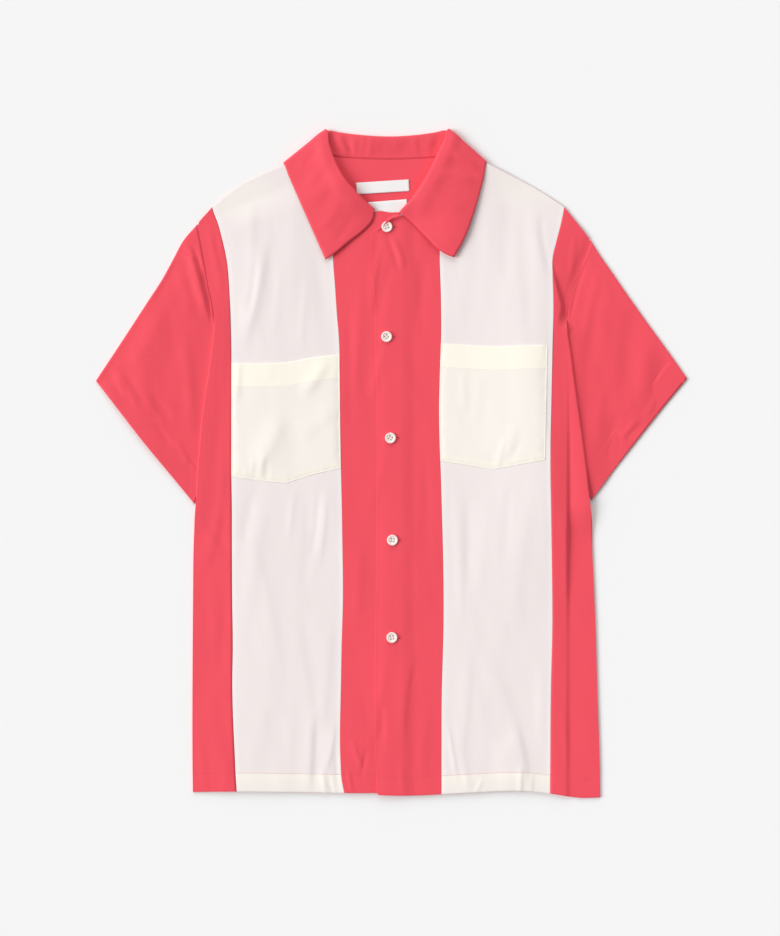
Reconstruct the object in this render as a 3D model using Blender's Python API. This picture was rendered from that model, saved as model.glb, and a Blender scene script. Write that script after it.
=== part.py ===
"""A short-sleeved bowling shirt, buttoned and laid flat on its back.

The back panel lies at the bottom, the fronts lie on it, and pockets, labels and buttons lie
on those. Every cloth piece is a wall of its own, a small gap from the piece it is sewn to.
Right and left are the wearer's, so the right half has negative X. +Y runs from hem to collar
and +Z is up. Tables are in millimetres, and the meshes are made in metres.
"""

import math

import bpy
import bmesh
import numpy as np
from mathutils import Vector
from mathutils.bvhtree import BVHTree

MM = 0.001

# Cloth and gaps
WALL = 1.0
SEAM_GAP = 0.3
STACK = WALL + SEAM_GAP
EASE = 0.05

# How far the cloth stands off what it lies on
NECK_LIFT = 1.5
NECK_LIFT_REACH = 48.0
NECK_BULK = 1.1
NECK_BULK_REACH = 24.0
NECK_POINT_MIDDLE = -2.5
NECK_POINT_APART = 76.5
NECK_POINT_Y = 338.0
FRONT_LOFT = 1.5
SLEEVE_LOFT = 1.6
LOFT_REACH = 60.0
FOLD_EDGE_MID = 4.9
FOLD_RADIUS = 0.9
TUCK_FULL_TURN = 6.0
TUCK_ARC_STEPS = 4
TUCK_LEAST_STEP = 0.3
TUCK_RUN_BACK = 2.5
SHOULDER_EASE = 30.0
SLEEVE_FOLD_WALL = 1.4
SLEEVE_FOLD_ROUND = 0.7
SLEEVE_PUFF_FROM = 3.0
SLEEVE_PUFF_REACH = 45.0
SLEEVE_INSET_REACH = 30.0
SLEEVE_STATIONS = (0, 0.06, 0.16, 0.34, 0.55, 0.78, 1.0)

# Where the side strips rise to lie over the sleeves: first and last height, and run-in of each
OVER_SLEEVE_LOW = -84.0
OVER_SLEEVE_HIGH = 200.0
OVER_SLEEVE_RUN_IN = 41.0

# Shoulder line, for the loft that dies away towards it
SHOULDER_PEAK_X = -4.0
SHOULDER_PEAK_Y = 348.0
SHOULDER_SLOPE = 0.42

# Front opening
UNDER_FRONT_EDGE = 9.0
PLACKET_EASE = 16.0

# Buttons
BUTTON_DIAMETER = 12.0
BUTTON_THICKNESS = 2.2
BUTTON_RIM = 1.3
BUTTON_DISH = 0.5
BUTTON_DISH_SLOPE = 0.8
BUTTON_EDGE_ROUND = 0.7
BUTTON_HOLE = 1.7
BUTTON_HOLE_SPACING = 2.9
BUTTON_SIDES = 14
BUTTON_HOLE_SIDES = 6
BUTTON_SEAT_SIDES = 8

RED = (0.80, 0.085, 0.125, 1.0)
PALE = (0.84, 0.79, 0.79, 1.0)
CREAM = (0.90, 0.86, 0.74, 1.0)
WHITE = (0.88, 0.88, 0.88, 1.0)
SHELL_WHITE = (0.85, 0.75, 0.66, 1.0)


def table(names, *rows):
    """A short table, as a dict of its named columns."""
    return dict(zip(names.split(), np.array(rows, float).T))


# Row levels of the fronts, from just above the hem to where rows start to follow the shoulder
LEVELS = (-332, -292, -248, -200, -152, -108, -70, -44, -24, 6, 25, 45, 65, 85, 105, 122, 140,
          158, 178, 200)
BACK_LEVELS = (-332, -248, -152, -70, -44, -24, 6, 25, 45, 65, 85, 105, 122, 140, 158, 178, 200)
SIDE_LEVELS = (-332, -292, -248, -200, -152, -108, -70, -52, -44, -34, -24, -9, 6, 25, 45, 65, 85,
               105, 122, 131, 140, 145, 151, 158, 178, 200)
TOP_STEPS = (0.36, 0.7, 1.0)
UNDERARM_LEVEL = -24

# Seams and side edge of each half. tuck is how far the side strip is folded back under itself
# where it lies over the sleeve; the armhole seam is that far in from the edge.
RIGHT_SEAMS = table(
    "y inner outer edge tuck",
    (-358, -50.6, -167.2, -214.4, 0),
    (-320, -54.0, -169.0, -214.8, 0),
    (-234, -54.4, -172.2, -214.8, 0),
    (-147, -52.6, -172.8, -214.2, 0),
    (-82, -53.4, -172.8, -213.3, 0),
    (-44, -54.0, -172.8, -211.3, 0),
    (-10, -54.4, -172.8, -210.1, 6),
    (14, -54.9, -172.8, -208.2, 10),
    (49, -55.4, -172.8, -205.0, 15),
    (72, -55.6, -172.8, -201.9, 16),
    (96, -55.9, -172.8, -198.3, 14),
    (124, -56.2, -172.9, -194.7, 9),
    (144, -57.3, -173.4, -192.3, 3.4),
    (158, -58.6, -173.8, -191.8, 0),
    (172, -59.6, -174.3, -193.4, 0),
    (193, -61.0, -175.3, -198.0, 0),
    (217, -63.0, -177.4, -201.8, 0),
    (242, -64.2, -182.6, -206.4, 0),
    (257, -65.0, -186.6, -209.4, 0),
    (277, -66.0, -193.4, -212.0, 0),
    (298, -66.0, -193.6, -212.0, 0),
    (340, -65.0, -193.6, -212.0, 0),
)
LEFT_SEAMS = table(
    "y inner outer edge tuck",
    (-361, 54.0, 171.2, 225.2, 0),
    (-320, 54.0, 171.4, 224.6, 0),
    (-255, 54.2, 171.8, 222.5, 0),
    (-169, 56.2, 173.6, 219.9, 0),
    (-104, 55.8, 172.9, 217.1, 0),
    (-44, 54.2, 171.8, 214.3, 0),
    (-10, 52.6, 171.0, 210.9, 6),
    (25, 51.0, 170.7, 206.5, 12),
    (58, 50.9, 171.4, 201.8, 14),
    (90, 51.7, 172.0, 197.4, 13),
    (119, 52.8, 172.6, 193.7, 9),
    (138, 53.4, 173.0, 190.8, 3),
    (152, 53.4, 173.6, 188.9, 0),
    (168, 53.1, 174.4, 191.0, 0),
    (182, 52.8, 174.8, 194.4, 0),
    (206, 52.2, 174.2, 202.0, 0),
    (222, 52.2, 174.4, 208.3, 0),
    (240, 53.2, 178.0, 214.8, 0),
    (262, 56.0, 183.6, 217.0, 0),
    (277, 58.0, 186.4, 217.0, 0),
    (298, 60.0, 187.0, 217.0, 0),
    (340, 62.0, 187.0, 217.0, 0),
)

# Top edge of each panel by column: how far across the body the column runs, and the point
# where it ends. The columns that end on the neck seam take their points from the collar.
RIGHT_SIDE_TOP = table(
    "across x y", (0, -193.4, 276.8), (0.35, -199.0, 270.6), (0.7, -204.6, 264.2), (1, -209.5, 257.6)
)
RIGHT_SHOULDER = table(
    "across x y",
    (0.3, -79.8, 336.2), (0.42, -98.0, 329.4), (0.56, -118.0, 320.8), (0.7, -138.0, 312.6),
    (0.85, -164.0, 299.6), (1, -193.4, 276.8),
)
LEFT_SHOULDER = table(
    "across x y",
    (0.3, 74.8, 336.2), (0.42, 90.0, 330.0), (0.56, 105.5, 322.6), (0.7, 132.0, 309.2),
    (0.85, 159.0, 294.6), (1, 186.4, 276.8),
)
LEFT_SIDE_TOP = table(
    "across x y", (0, 186.4, 276.8), (0.35, 196.0, 265.0), (0.7, 206.0, 252.2), (1, 214.8, 240.2)
)
UNDER_FRONT_TOP = table("across x y", (0.78, -8.0, 271.6), (1, 9.0, 266.0))
TOP_FRONT_TOP = table("across x y", (0, -21.4, 254.6), (0.12, -17.6, 257.6), (0.26, -8.6, 261.4))
BACK_RIGHT_SHOULDER = table(
    "across x y",
    (0, -209.4, 257.6), (0.05, -193.6, 276.4), (0.11, -165.0, 299.0), (0.17, -138.0, 312.4),
    (0.22, -118.0, 320.6), (0.27, -98.0, 329.0), (0.31, -80.0, 335.8),
)
BACK_LEFT_SHOULDER = table(
    "across x y",
    (0.66, 75.0, 335.8), (0.7, 90.0, 329.6), (0.74, 105.5, 322.2), (0.8, 132.0, 308.8),
    (0.86, 159.0, 294.0), (0.93, 186.6, 276.2), (1, 214.8, 240.2),
)

# Bottom edge of the whole body
HEM = table(
    "x y",
    (-215, -356.0), (-168, -355.6), (-53, -357.6), (-17, -356.6), (-8, -359.2), (28, -359.4),
    (54, -357.8), (171, -358.2), (226, -361.0),
)

# Front edge of the top front: straight down, curving in at the neck
PLACKET = table(
    "y x",
    (-360, -15.2), (-331, -16.6), (-100, -16.5), (103, -16.4), (133, -17.2), (156, -17.6),
    (191, -19.4), (209, -22.6), (233, -22.5), (254, -21.2), (300, -21.2),
)

# Sleeves: the folded top edge from the shoulder to the cuff, and the cuff edge down to its
# lower corner at the side of the body
RIGHT_SLEEVE_TOP = table(
    "x y", (-209.8, 258.0), (-224.1, 241.4), (-236.0, 219.8), (-247.9, 198.2), (-261.9, 176.6),
    (-290.0, 133.4), (-319.1, 89.4),
)
RIGHT_CUFF = table(
    "x y", (-319.1, 89.4), (-302.9, 68.6), (-269.5, 25.4), (-233.8, -17.8), (-212.6, -43.6)
)
LEFT_SLEEVE_TOP = table(
    "x y", (215.2, 240.4), (228.4, 219.8), (236.0, 209.2), (243.5, 198.2), (273.8, 155.0),
    (305.1, 111.8), (319.1, 91.8),
)
LEFT_CUFF = table(
    "x y", (319.1, 91.8), (299.7, 68.6), (265.1, 25.4), (231.7, -17.8), (215.6, -39.6)
)

# Collar: neck seam, roll line and outer edge of the band, from a front end to the side fold.
# roll is half the height of the roll, and bow is how far the outer cloth swings forward.
RIGHT_COLLAR = table(
    "seam_x seam_y roll_x roll_y edge_x edge_y roll bow",
    (-23.0, 269.8, -17.5, 273.5, -71.0, 219.4, 0.9, 3.0),
    (-44.0, 278.5, -31.9, 287.6, -80.0, 239.9, 2.0, 0),
    (-65.0, 297.5, -50.2, 308.2, -91.6, 266.3, 2.4, 0),
    (-77.0, 318.0, -63.2, 334.2, -104.2, 294.9, 2.0, 0),
    (-79.0, 338.3, -71.2, 361.0, -117.2, 324.5, 1.1, 0),
)
LEFT_COLLAR = table(
    "seam_x seam_y roll_x roll_y edge_x edge_y roll bow",
    (15.0, 267.0, 9.0, 270.8, 66.6, 222.0, 0.9, -2.0),
    (37.5, 276.0, 25.4, 286.6, 75.3, 244.5, 2.0, 0),
    (58.0, 294.5, 41.6, 309.3, 83.5, 268.0, 2.4, 0),
    (70.0, 316.0, 53.5, 337.4, 93.1, 295.8, 2.0, 0),
    (74.0, 338.3, 62.4, 361.3, 103.4, 325.4, 1.1, 0),
)
BACK_COLLAR = table(
    "seam_x seam_y roll_x roll_y edge_x edge_y roll bow",
    (-79.0, 338.3, -71.2, 361.0, -117.2, 324.5, 1.1, 0),
    (-60.0, 330.9, -56.0, 357.0, -88.0, 311.0, 1.2, 0),
    (-32.0, 328.8, -30.0, 353.8, -45.0, 304.5, 1.8, 0),
    (-2.0, 328.0, -2.0, 352.4, -4.0, 303.5, 2.0, 0),
    (28.0, 328.9, 25.0, 353.9, 36.0, 304.5, 1.8, 0),
    (55.0, 331.2, 48.0, 357.2, 76.0, 311.6, 1.2, 0),
    (74.0, 338.3, 62.4, 361.3, 103.4, 325.4, 1.1, 0),
)
COLLAR_STATIONS = 9
COLLAR_BACK_STATIONS = 13
STAND_STEPS = 3
ROLL_ANGLES = (-90, -45, 0, 45, 90)
FALL_STEPS = 6
SIDE_FOLD_ANGLES = (50, 0, -50)
COLLAR_FOLD_REACH = 0.9
COLLAR_STAND_RISE = 1.0
COLLAR_CLEAR = 0.1
BACK_FALL_MID = 0.5 * WALL
BACK_FALL_MIDDLE_X = -6.0
BACK_FALL_MIDDLE_Y = 303.5
BACK_FALL_RISE = 21.0
BACK_FALL_HALF_WIDTH = 111.0

# The largest soft folds: a ridge where height is positive, a trough where it is negative
FOLDS = table(
    "x0 y0 x1 y1 bow width height",
    (-140, 235, -160, 112, 4, 15, 0.7),
    (-112, 45, -146, -20, 3, 13, 0.6),
    (-76, -250, -88, -362, 0, 12, 0.9),
    (-150, -90, -96, -330, -8, 24, 0.5),
    (-60, -60, -75, -190, 0, 22, -0.5),
    (123, -290, 133, -362, 0, 12, 0.9),
    (174, 214, 190, 140, 2, 10, 1.0),
    (178, -130, 206, -250, 6, 14, 0.6),
    (-200, -55, -170, -100, 0, 12, -0.5),
    (100, 90, 120, -200, 10, 26, 0.4),
    (-4, 250, 8, 206, 2, 9, 0.5),
    (-256, 170, -262, 40, 6, 20, 0.8),
    (-298, 110, -280, 50, 2, 14, -0.4),
    (262, 165, 266, 30, -6, 20, 0.8),
    (300, 110, 284, 50, -2, 14, -0.4),
)

# Patch pockets, across the pale stripes: heights of the top and bottom edge by column
RIGHT_POCKET = table(
    "across top bottom",
    (0, 117.6, -5.0), (0.25, 114.0, -11.6), (0.5, 108.9, -21.2), (0.75, 107.9, -18.4),
    (1, 108.4, -14.0),
)
LEFT_POCKET = table(
    "across top bottom",
    (0, 129.4, 2.6), (0.25, 127.4, -1.6), (0.48, 126.0, -6.4), (0.75, 127.0, -0.4),
    (0.955, 127.6, 4.2),
)

# Labels on the inside of the back: middle, size, turn in degrees
NECK_LABEL = dict(x=-9.4, y=298.4, width=57.0, height=12.6, turn=3.6)
SIZE_LABEL = dict(x=-3.5, y=272.6, width=42.0, height=22.0, turn=4.5)

LABEL_EASE = 0.08

BUTTONS = table("x y", (-4.9, 255.2), (-5.3, 136.7), (-1.1, 27.5), (1.0, -82.6), (0.5, -187.6))


# ---------------------------------------------------------------- shapes from the tables


def smooth(t):
    """0 below 0, 1 above 1, and an S curve between."""
    t = np.clip(t, 0.0, 1.0)
    return t * t * (3 - 2 * t)


def along(keys, values, at):
    """Smooth curve through values at keys, read at at and held beyond the ends."""
    slope = np.gradient(values, keys)
    i = np.clip(np.searchsorted(keys, at) - 1, 0, len(keys) - 2)
    step = keys[i + 1] - keys[i]
    t = np.clip((at - keys[i]) / step, 0.0, 1.0)
    ease = t * t * (3 - 2 * t)
    start = slope[i] * step * t * (1 - t) ** 2
    end = slope[i + 1] * step * t * t * (1 - t)
    return values[i] * (1 - ease) + values[i + 1] * ease + start - end


def seam(seams, column, y):
    return along(seams["y"], seams[column], np.asarray(y, float))


def path(points, stations):
    """XY points spread along a table's smooth line, by share of its length."""
    steps = np.hypot(np.diff(points["x"]), np.diff(points["y"]))
    length = np.concatenate([[0], np.cumsum(steps)]) / steps.sum()
    at = np.asarray(stations, float)
    return np.stack([along(length, points["x"], at), along(length, points["y"], at)], -1)


def fold_height(x, y):
    """Sum of the soft folds at a place."""
    total = np.zeros(np.broadcast(x, y).shape)
    for x0, y0, x1, y1, bow, width, height in zip(*FOLDS.values()):
        length = math.hypot(x1 - x0, y1 - y0)
        ux, uy = (x1 - x0) / length, (y1 - y0) / length
        share = ((x - x0) * ux + (y - y0) * uy) / length
        aside = (x - x0) * -uy + (y - y0) * ux - bow * np.sin(math.pi * np.clip(share, 0, 1))
        taper = smooth(share / 0.35) * smooth((1 - share) / 0.35)
        total += height * taper * np.exp(-((aside / width) ** 2))
    return total


def back_fall_edge(x):
    """Lower edge of the collar's back fall, which lies under the back panel."""
    aside = (x - BACK_FALL_MIDDLE_X) / BACK_FALL_HALF_WIDTH
    return BACK_FALL_MIDDLE_Y + BACK_FALL_RISE * aside**2


def neck_lift(x, y):
    """How far the collar's back fall lifts what lies on it."""
    return NECK_LIFT * smooth((y - back_fall_edge(x)) / NECK_LIFT_REACH + 1)


def shoulder_distance(x, y):
    """Rough distance in from the shoulder line."""
    return SHOULDER_PEAK_Y - SHOULDER_SLOPE * np.abs(x - SHOULDER_PEAK_X) - y


def near_neck_point(x, y):
    """1 where the shoulder seams meet the collar, fading to 0 around it."""
    aside = np.abs(x - NECK_POINT_MIDDLE) - NECK_POINT_APART
    return np.exp(-((aside / NECK_BULK_REACH) ** 2) - ((y - NECK_POINT_Y) / NECK_BULK_REACH) ** 2)


def back_mid(x, y):
    """Middle of the back panel's wall."""
    return 0.5 * WALL + neck_lift(x, y)


def front_mid(x, y):
    """Middle of a front's wall: on the back panel at the edges, raised inside them."""
    side = np.minimum(x - seam(RIGHT_SEAMS, "edge", y), seam(LEFT_SEAMS, "edge", y) - x)
    puff = smooth(side / LOFT_REACH) * smooth(shoulder_distance(x, y) / SHOULDER_EASE)
    raised = np.maximum(FRONT_LOFT + fold_height(x, y), 0.1)
    return back_mid(x, y) + STACK + puff * raised + NECK_BULK * near_neck_point(x, y) + EASE


def top_front_mid(x, y):
    """The same for the left front, whose centre strip laps over the right one's edge."""
    return front_mid(x, y) + STACK * (1 - smooth((x - UNDER_FRONT_EDGE - 1) / PLACKET_EASE))


# ---------------------------------------------------------------- closed solids from grids


def wall_about(mid, section_rows=False):
    """Lower and upper points of a wall about a grid of middle points (rows, columns, XYZ).

    With section_rows each row is a folded section, and its normals stay in its own plane.
    """
    across = np.gradient(mid, axis=1)
    up = np.gradient(mid, axis=0)
    if section_rows:
        up = np.broadcast_to(up.mean(axis=1, keepdims=True) * (1, 1, 0), mid.shape)
    normal = np.cross(across, up)
    normal /= np.linalg.norm(normal, axis=-1, keepdims=True)
    under = mid - 0.5 * WALL * normal
    over = mid + 0.5 * WALL * normal
    for side in (under, over):
        side[..., 2] = np.maximum(side[..., 2], 0.0)
    return under, over


def material(name, colour, roughness):
    made = bpy.data.materials.new(name)
    made.use_nodes = True
    shader = made.node_tree.nodes["Principled BSDF"]
    shader.inputs["Base Color"].default_value = colour
    shader.inputs["Roughness"].default_value = roughness
    shader.inputs["Metallic"].default_value = 0.0
    made.diffuse_color = colour
    return made


def place(name, mesh, colour, roughness=0.75):
    """Adds a mesh to the scene as one named sub-part with its own material."""
    mesh.materials.append(material(name + "_finish", colour, roughness))
    mesh.shade_smooth()
    mesh.set_sharp_from_angle(angle=math.radians(40))
    made = bpy.data.objects.new(name, mesh)
    bpy.context.scene.collection.objects.link(made)
    return made


def cloth(name, walls, colour, wraps=False):
    """A closed wall of cloth between a lower and an upper grid of points, in millimetres."""
    under, over = walls
    rows, columns = under.shape[:2]
    shape = bmesh.new()
    lower = [[shape.verts.new(p * MM) for p in row] for row in under]
    upper = [[shape.verts.new(p * MM) for p in row] for row in over]
    spans = columns if wraps else columns - 1
    for r in range(rows - 1):
        for c in range(spans):
            n = (c + 1) % columns
            shape.faces.new((upper[r][c], upper[r][n], upper[r + 1][n], upper[r + 1][c]))
            shape.faces.new((lower[r][c], lower[r + 1][c], lower[r + 1][n], lower[r][n]))
    for c in range(spans):
        n = (c + 1) % columns
        shape.faces.new((lower[0][c], lower[0][n], upper[0][n], upper[0][c]))
        shape.faces.new((upper[-1][c], upper[-1][n], lower[-1][n], lower[-1][c]))
    if not wraps:
        for r in range(rows - 1):
            shape.faces.new((upper[r][0], upper[r + 1][0], lower[r + 1][0], lower[r][0]))
            shape.faces.new((lower[r][-1], lower[r + 1][-1], upper[r + 1][-1], upper[r][-1]))
    mesh = bpy.data.meshes.new(name)
    shape.to_mesh(mesh)
    shape.free()
    return place(name, mesh, colour)


def panel_grid(first, last, top, height, levels=LEVELS):
    """Middle points of a flat panel between two edges, each a function giving X at a Y.

    top is a table of how far across each column runs and the point where it ends.
    """
    columns = []
    for across, top_x, top_y in zip(top["across"], top["x"], top["y"]):
        break_y = levels[-1]
        above = [break_y + step * (top_y - break_y) for step in TOP_STEPS]
        y = np.array([levels[0], *levels, *above], float)
        x = first(y) + across * (last(y) - first(y))
        x[-len(TOP_STEPS):] += np.array(TOP_STEPS) * (top_x - x[-1])
        y[0] = along(HEM["x"], HEM["y"], x[0])
        columns.append(np.stack([x, y, height(x, y)], -1))
    return np.stack(columns, 1)


def neck_points(rows, count, stations, across):
    """Points along a collar table's neck seam, a seam gap out from it, as a top table."""
    run = collar_rows(rows, count)
    xy = np.stack([run["seam_x"], run["seam_y"]], -1)
    tangent = np.gradient(xy, axis=0)
    tangent /= np.linalg.norm(tangent, axis=1, keepdims=True)
    to_roll = np.stack([run["roll_x"] - run["seam_x"], run["roll_y"] - run["seam_y"]], -1)
    outward = np.stack([tangent[:, 1], -tangent[:, 0]], -1)
    outward *= -np.sign((outward * to_roll).sum(1, keepdims=True))
    points = (xy + outward * (SEAM_GAP + EASE))[stations]
    return dict(across=np.asarray(across, float), x=points[:, 0], y=points[:, 1])


def reversed_table(rows):
    return {name: column[::-1] for name, column in rows.items()}


def joined(*tables):
    return {name: np.concatenate([t[name] for t in tables]) for name in tables[0]}


def edge_at(seams, column, shift):
    return lambda y: seam(seams, column, y) + shift


def on_grid(grid, across, y):
    """Point of a panel's grid at a share across its columns and a height."""
    spread = (grid[0, :, 0] - grid[0, 0, 0]) / (grid[0, -1, 0] - grid[0, 0, 0])
    c = int(np.clip(np.searchsorted(spread, across) - 1, 0, len(spread) - 2))
    t = (across - spread[c]) / (spread[c + 1] - spread[c])
    column = grid[:, c] * (1 - t) + grid[:, c + 1] * t
    return np.array([np.interp(y, column[:, 1], column[:, k]) for k in range(3)])


# ---------------------------------------------------------------- the pieces


def make_back():
    def right_edge(y):
        return seam(RIGHT_SEAMS, "edge", y) + seam(RIGHT_SEAMS, "tuck", y)

    def left_edge(y):
        return seam(LEFT_SEAMS, "edge", y) - seam(LEFT_SEAMS, "tuck", y)

    inner = slice(1, COLLAR_BACK_STATIONS - 1)
    across = np.linspace(BACK_RIGHT_SHOULDER["across"][-1], BACK_LEFT_SHOULDER["across"][0],
                         COLLAR_BACK_STATIONS)[inner]
    neck = neck_points(BACK_COLLAR, COLLAR_BACK_STATIONS, inner, across)
    top = joined(BACK_RIGHT_SHOULDER, neck, BACK_LEFT_SHOULDER)
    grid = panel_grid(right_edge, left_edge, top, back_mid, BACK_LEVELS)
    return cloth("back", wall_about(grid), RED)


def side_strip(name, seams, sign, top):
    """Side strip of a front, with its edge folded under where it lies over the sleeve."""
    seam_side = edge_at(seams, "outer", sign * SEAM_GAP)
    edge = edge_at(seams, "edge", 0.0)
    flat = panel_grid(seam_side, edge, top, front_mid, SIDE_LEVELS)
    rows = []
    for row in flat:
        y_edge = row[-1, 1]
        tuck = float(seam(seams, "tuck", y_edge))
        above_low = smooth((y_edge - OVER_SLEEVE_LOW) / OVER_SLEEVE_RUN_IN)
        below_high = smooth((OVER_SLEEVE_HIGH - y_edge) / OVER_SLEEVE_RUN_IN)
        over_sleeve = above_low * below_high
        rise = (FOLD_EDGE_MID - row[-1, 2]) * over_sleeve
        width = abs(row[-1, 0] - row[0, 0])
        row = row.copy()
        row[:, 2] += rise * smooth(np.abs(row[:, 0] - row[0, 0]) / (width - tuck - 2 * WALL))
        rows.append(curled_row(row, sign, tuck))
    cloth(name, wall_about(oriented(np.stack(rows), sign), section_rows=True), RED)


def curled_row(row, sign, tuck):
    """A row of a side strip, its end turned under and running back by the depth of the tuck."""
    turn = math.pi * float(smooth(tuck / TUCK_FULL_TURN))
    arc_step = max(FOLD_RADIUS * turn / TUCK_ARC_STEPS, TUCK_LEAST_STEP)
    straight_step = max(tuck - TUCK_FULL_TURN + TUCK_RUN_BACK, 2 * TUCK_LEAST_STEP) / 2
    run, drop = [0.0], [0.0]
    for k in range(TUCK_ARC_STEPS):
        angle = turn * (k + 0.5) / TUCK_ARC_STEPS
        run.append(run[-1] + arc_step * math.cos(angle))
        drop.append(drop[-1] + arc_step * math.sin(angle))
    for _ in range(2):
        run.append(run[-1] + straight_step * math.cos(turn))
        drop.append(drop[-1] + straight_step * math.sin(turn))
    end = row[-1]
    start = end[0] - sign * (max(run) + 0.5 * WALL * float(turn > 0.5 * math.pi))
    curl = [(start + sign * r, end[1], end[2] - d) for r, d in zip(run, drop)]
    return np.concatenate([row[:-1], np.array(curl)])


def oriented(grid, sign):
    """Columns run towards +X, so that the normals of a grid point up."""
    return grid[:, ::-1] if sign < 0 else grid


def make_fronts():
    """The six strips; returns the two stripes' grids and the top front's centre strip."""
    seam_station = (COLLAR_STATIONS - 1) // 2
    near_stripe = slice(COLLAR_STATIONS - 2, seam_station - 1, -1)
    stripe_across = np.linspace(0.225, 0, seam_station)
    right_top = joined(
        reversed_table(neck_points(RIGHT_COLLAR, COLLAR_STATIONS, near_stripe, stripe_across)),
        RIGHT_SHOULDER,
    )
    left_top = joined(
        reversed_table(neck_points(LEFT_COLLAR, COLLAR_STATIONS, near_stripe, stripe_across)),
        LEFT_SHOULDER,
    )
    near_opening = slice(seam_station, None, -1)
    under_top = joined(
        neck_points(RIGHT_COLLAR, COLLAR_STATIONS, near_opening, np.linspace(0, 0.6, 5)),
        UNDER_FRONT_TOP,
    )
    over_top = joined(
        TOP_FRONT_TOP,
        reversed_table(
            neck_points(LEFT_COLLAR, COLLAR_STATIONS, near_opening, np.linspace(1, 0.42, 5))
        ),
    )
    right_top["x"][0] -= 0.5 * SEAM_GAP
    under_top["x"][0] += 0.5 * SEAM_GAP
    left_top["x"][0] += 0.5 * SEAM_GAP
    over_top["x"][-1] -= 0.5 * SEAM_GAP
    right_stripe = panel_grid(
        edge_at(RIGHT_SEAMS, "inner", -0.5 * SEAM_GAP),
        edge_at(RIGHT_SEAMS, "outer", 0.5 * SEAM_GAP),
        right_top,
        front_mid,
    )
    left_stripe = panel_grid(
        edge_at(LEFT_SEAMS, "inner", 0.5 * SEAM_GAP),
        edge_at(LEFT_SEAMS, "outer", -0.5 * SEAM_GAP),
        left_top,
        top_front_mid,
    )
    right_centre = panel_grid(
        edge_at(RIGHT_SEAMS, "inner", 0.5 * SEAM_GAP),
        lambda y: np.full(np.shape(y), UNDER_FRONT_EDGE),
        under_top,
        front_mid,
    )
    left_centre = panel_grid(
        lambda y: along(PLACKET["y"], PLACKET["x"], y),
        edge_at(LEFT_SEAMS, "inner", -0.5 * SEAM_GAP),
        over_top,
        top_front_mid,
    )
    side_strip("front_right_side", RIGHT_SEAMS, -1, RIGHT_SIDE_TOP)
    cloth("front_right_stripe", wall_about(oriented(right_stripe, -1)), PALE)
    cloth("front_right_centre", wall_about(right_centre), RED)
    side_strip("front_left_side", LEFT_SEAMS, 1, LEFT_SIDE_TOP)
    cloth("front_left_stripe", wall_about(left_stripe), PALE)
    top_front = cloth("front_left_centre", wall_about(left_centre), RED)
    return right_stripe, left_stripe, top_front


def make_sleeve(name, seams, sign, top, cuff):
    """A sleeve: a flattened tube from the armhole to the open cuff."""
    shoulder_y = top["y"][0]
    break_y = LEVELS[-1]
    above = [break_y + step * (shoulder_y - break_y) for step in TOP_STEPS]
    level = [y for y in LEVELS if y >= UNDERARM_LEVEL] + above
    arm_y = np.array(level[::-1], float)
    arm_x = seam(seams, "edge", arm_y) - sign * seam(seams, "tuck", arm_y) + sign * SEAM_GAP
    arm_x[0] = top["x"][0] + sign * SEAM_GAP
    arm = np.stack([arm_x, arm_y], -1)
    share = (arm_y[0] - arm_y) / (arm_y[0] - arm_y[-1])
    stations = np.array(SLEEVE_STATIONS)
    cuff_line = path(cuff, share)
    top_line = path(top, stations)
    top_line[0] = arm[0]
    arm[-1, 0] += sign * SEAM_GAP
    cuff_line[-1, 0] += sign * SEAM_GAP
    under_line = arm[-1] + stations[:, None] * (cuff_line[-1] - arm[-1])
    rows = []
    for u, at_top, at_under in zip(stations, top_line, under_line):
        plan = (1 - u) * arm + u * cuff_line
        plan += (1 - share)[:, None] * (at_top - (1 - u) * arm[0] - u * cuff_line[0])
        plan += share[:, None] * (at_under - (1 - u) * arm[-1] - u * cuff_line[-1])
        rows.append(flat_ring(plan, seams, sign))
    walls = [np.stack(side) for side in zip(*rows)]
    cloth(name, walls, RED, wraps=True)


def sleeve_top(x, y, inset, seams, sign):
    """Upper face of a sleeve's upper layer, raised away from the body and from its folds."""
    beyond = sign * (x - seam(seams, "edge", y))
    puff = smooth((beyond - SLEEVE_PUFF_FROM) / SLEEVE_PUFF_REACH)
    puff = puff * smooth(inset / SLEEVE_INSET_REACH)
    return WALL + STACK + puff * (SLEEVE_LOFT + fold_height(x, y))


def flat_ring(plan, seams, sign):
    """Inner and outer ring of a flattened sleeve about a line of plan points.

    Both run along the upper layer, round the underarm fold, back along the lower layer and
    round the top fold. The outer ring reaches the line's ends and the inner one stops short.
    """
    steps = np.hypot(*np.diff(plan, axis=0).T)
    run = np.concatenate([[0], np.cumsum(steps)])
    into_top = (plan[1] - plan[0]) / steps[0]
    into_under = (plan[-2] - plan[-1]) / steps[-1]
    from_fold = np.minimum(run, run[-1] - run)
    rings = []
    for inset, cover in ((SLEEVE_FOLD_WALL, WALL), (0.0, 0.0)):
        line = plan.copy()
        line[0] += into_top * (inset + SLEEVE_FOLD_ROUND)
        line[-1] += into_under * (inset + SLEEVE_FOLD_ROUND)
        top = sleeve_top(line[:, 0], line[:, 1], from_fold, seams, sign) - cover
        low = np.full(len(line), cover)
        ends = []
        for k, inward in ((-1, into_under), (0, into_top)):
            tip = plan[k] + inward * inset
            ends.append([(*tip, 0.5 * (top[k] + low[k]))])
        upper = [(*p, z) for p, z in zip(line, top)]
        lower = [(*p, z) for p, z in zip(line, low)]
        ring = np.array(upper + ends[0] + lower[::-1] + ends[1])
        rings.append(ring[::-1] if sign < 0 else ring)
    return rings


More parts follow.
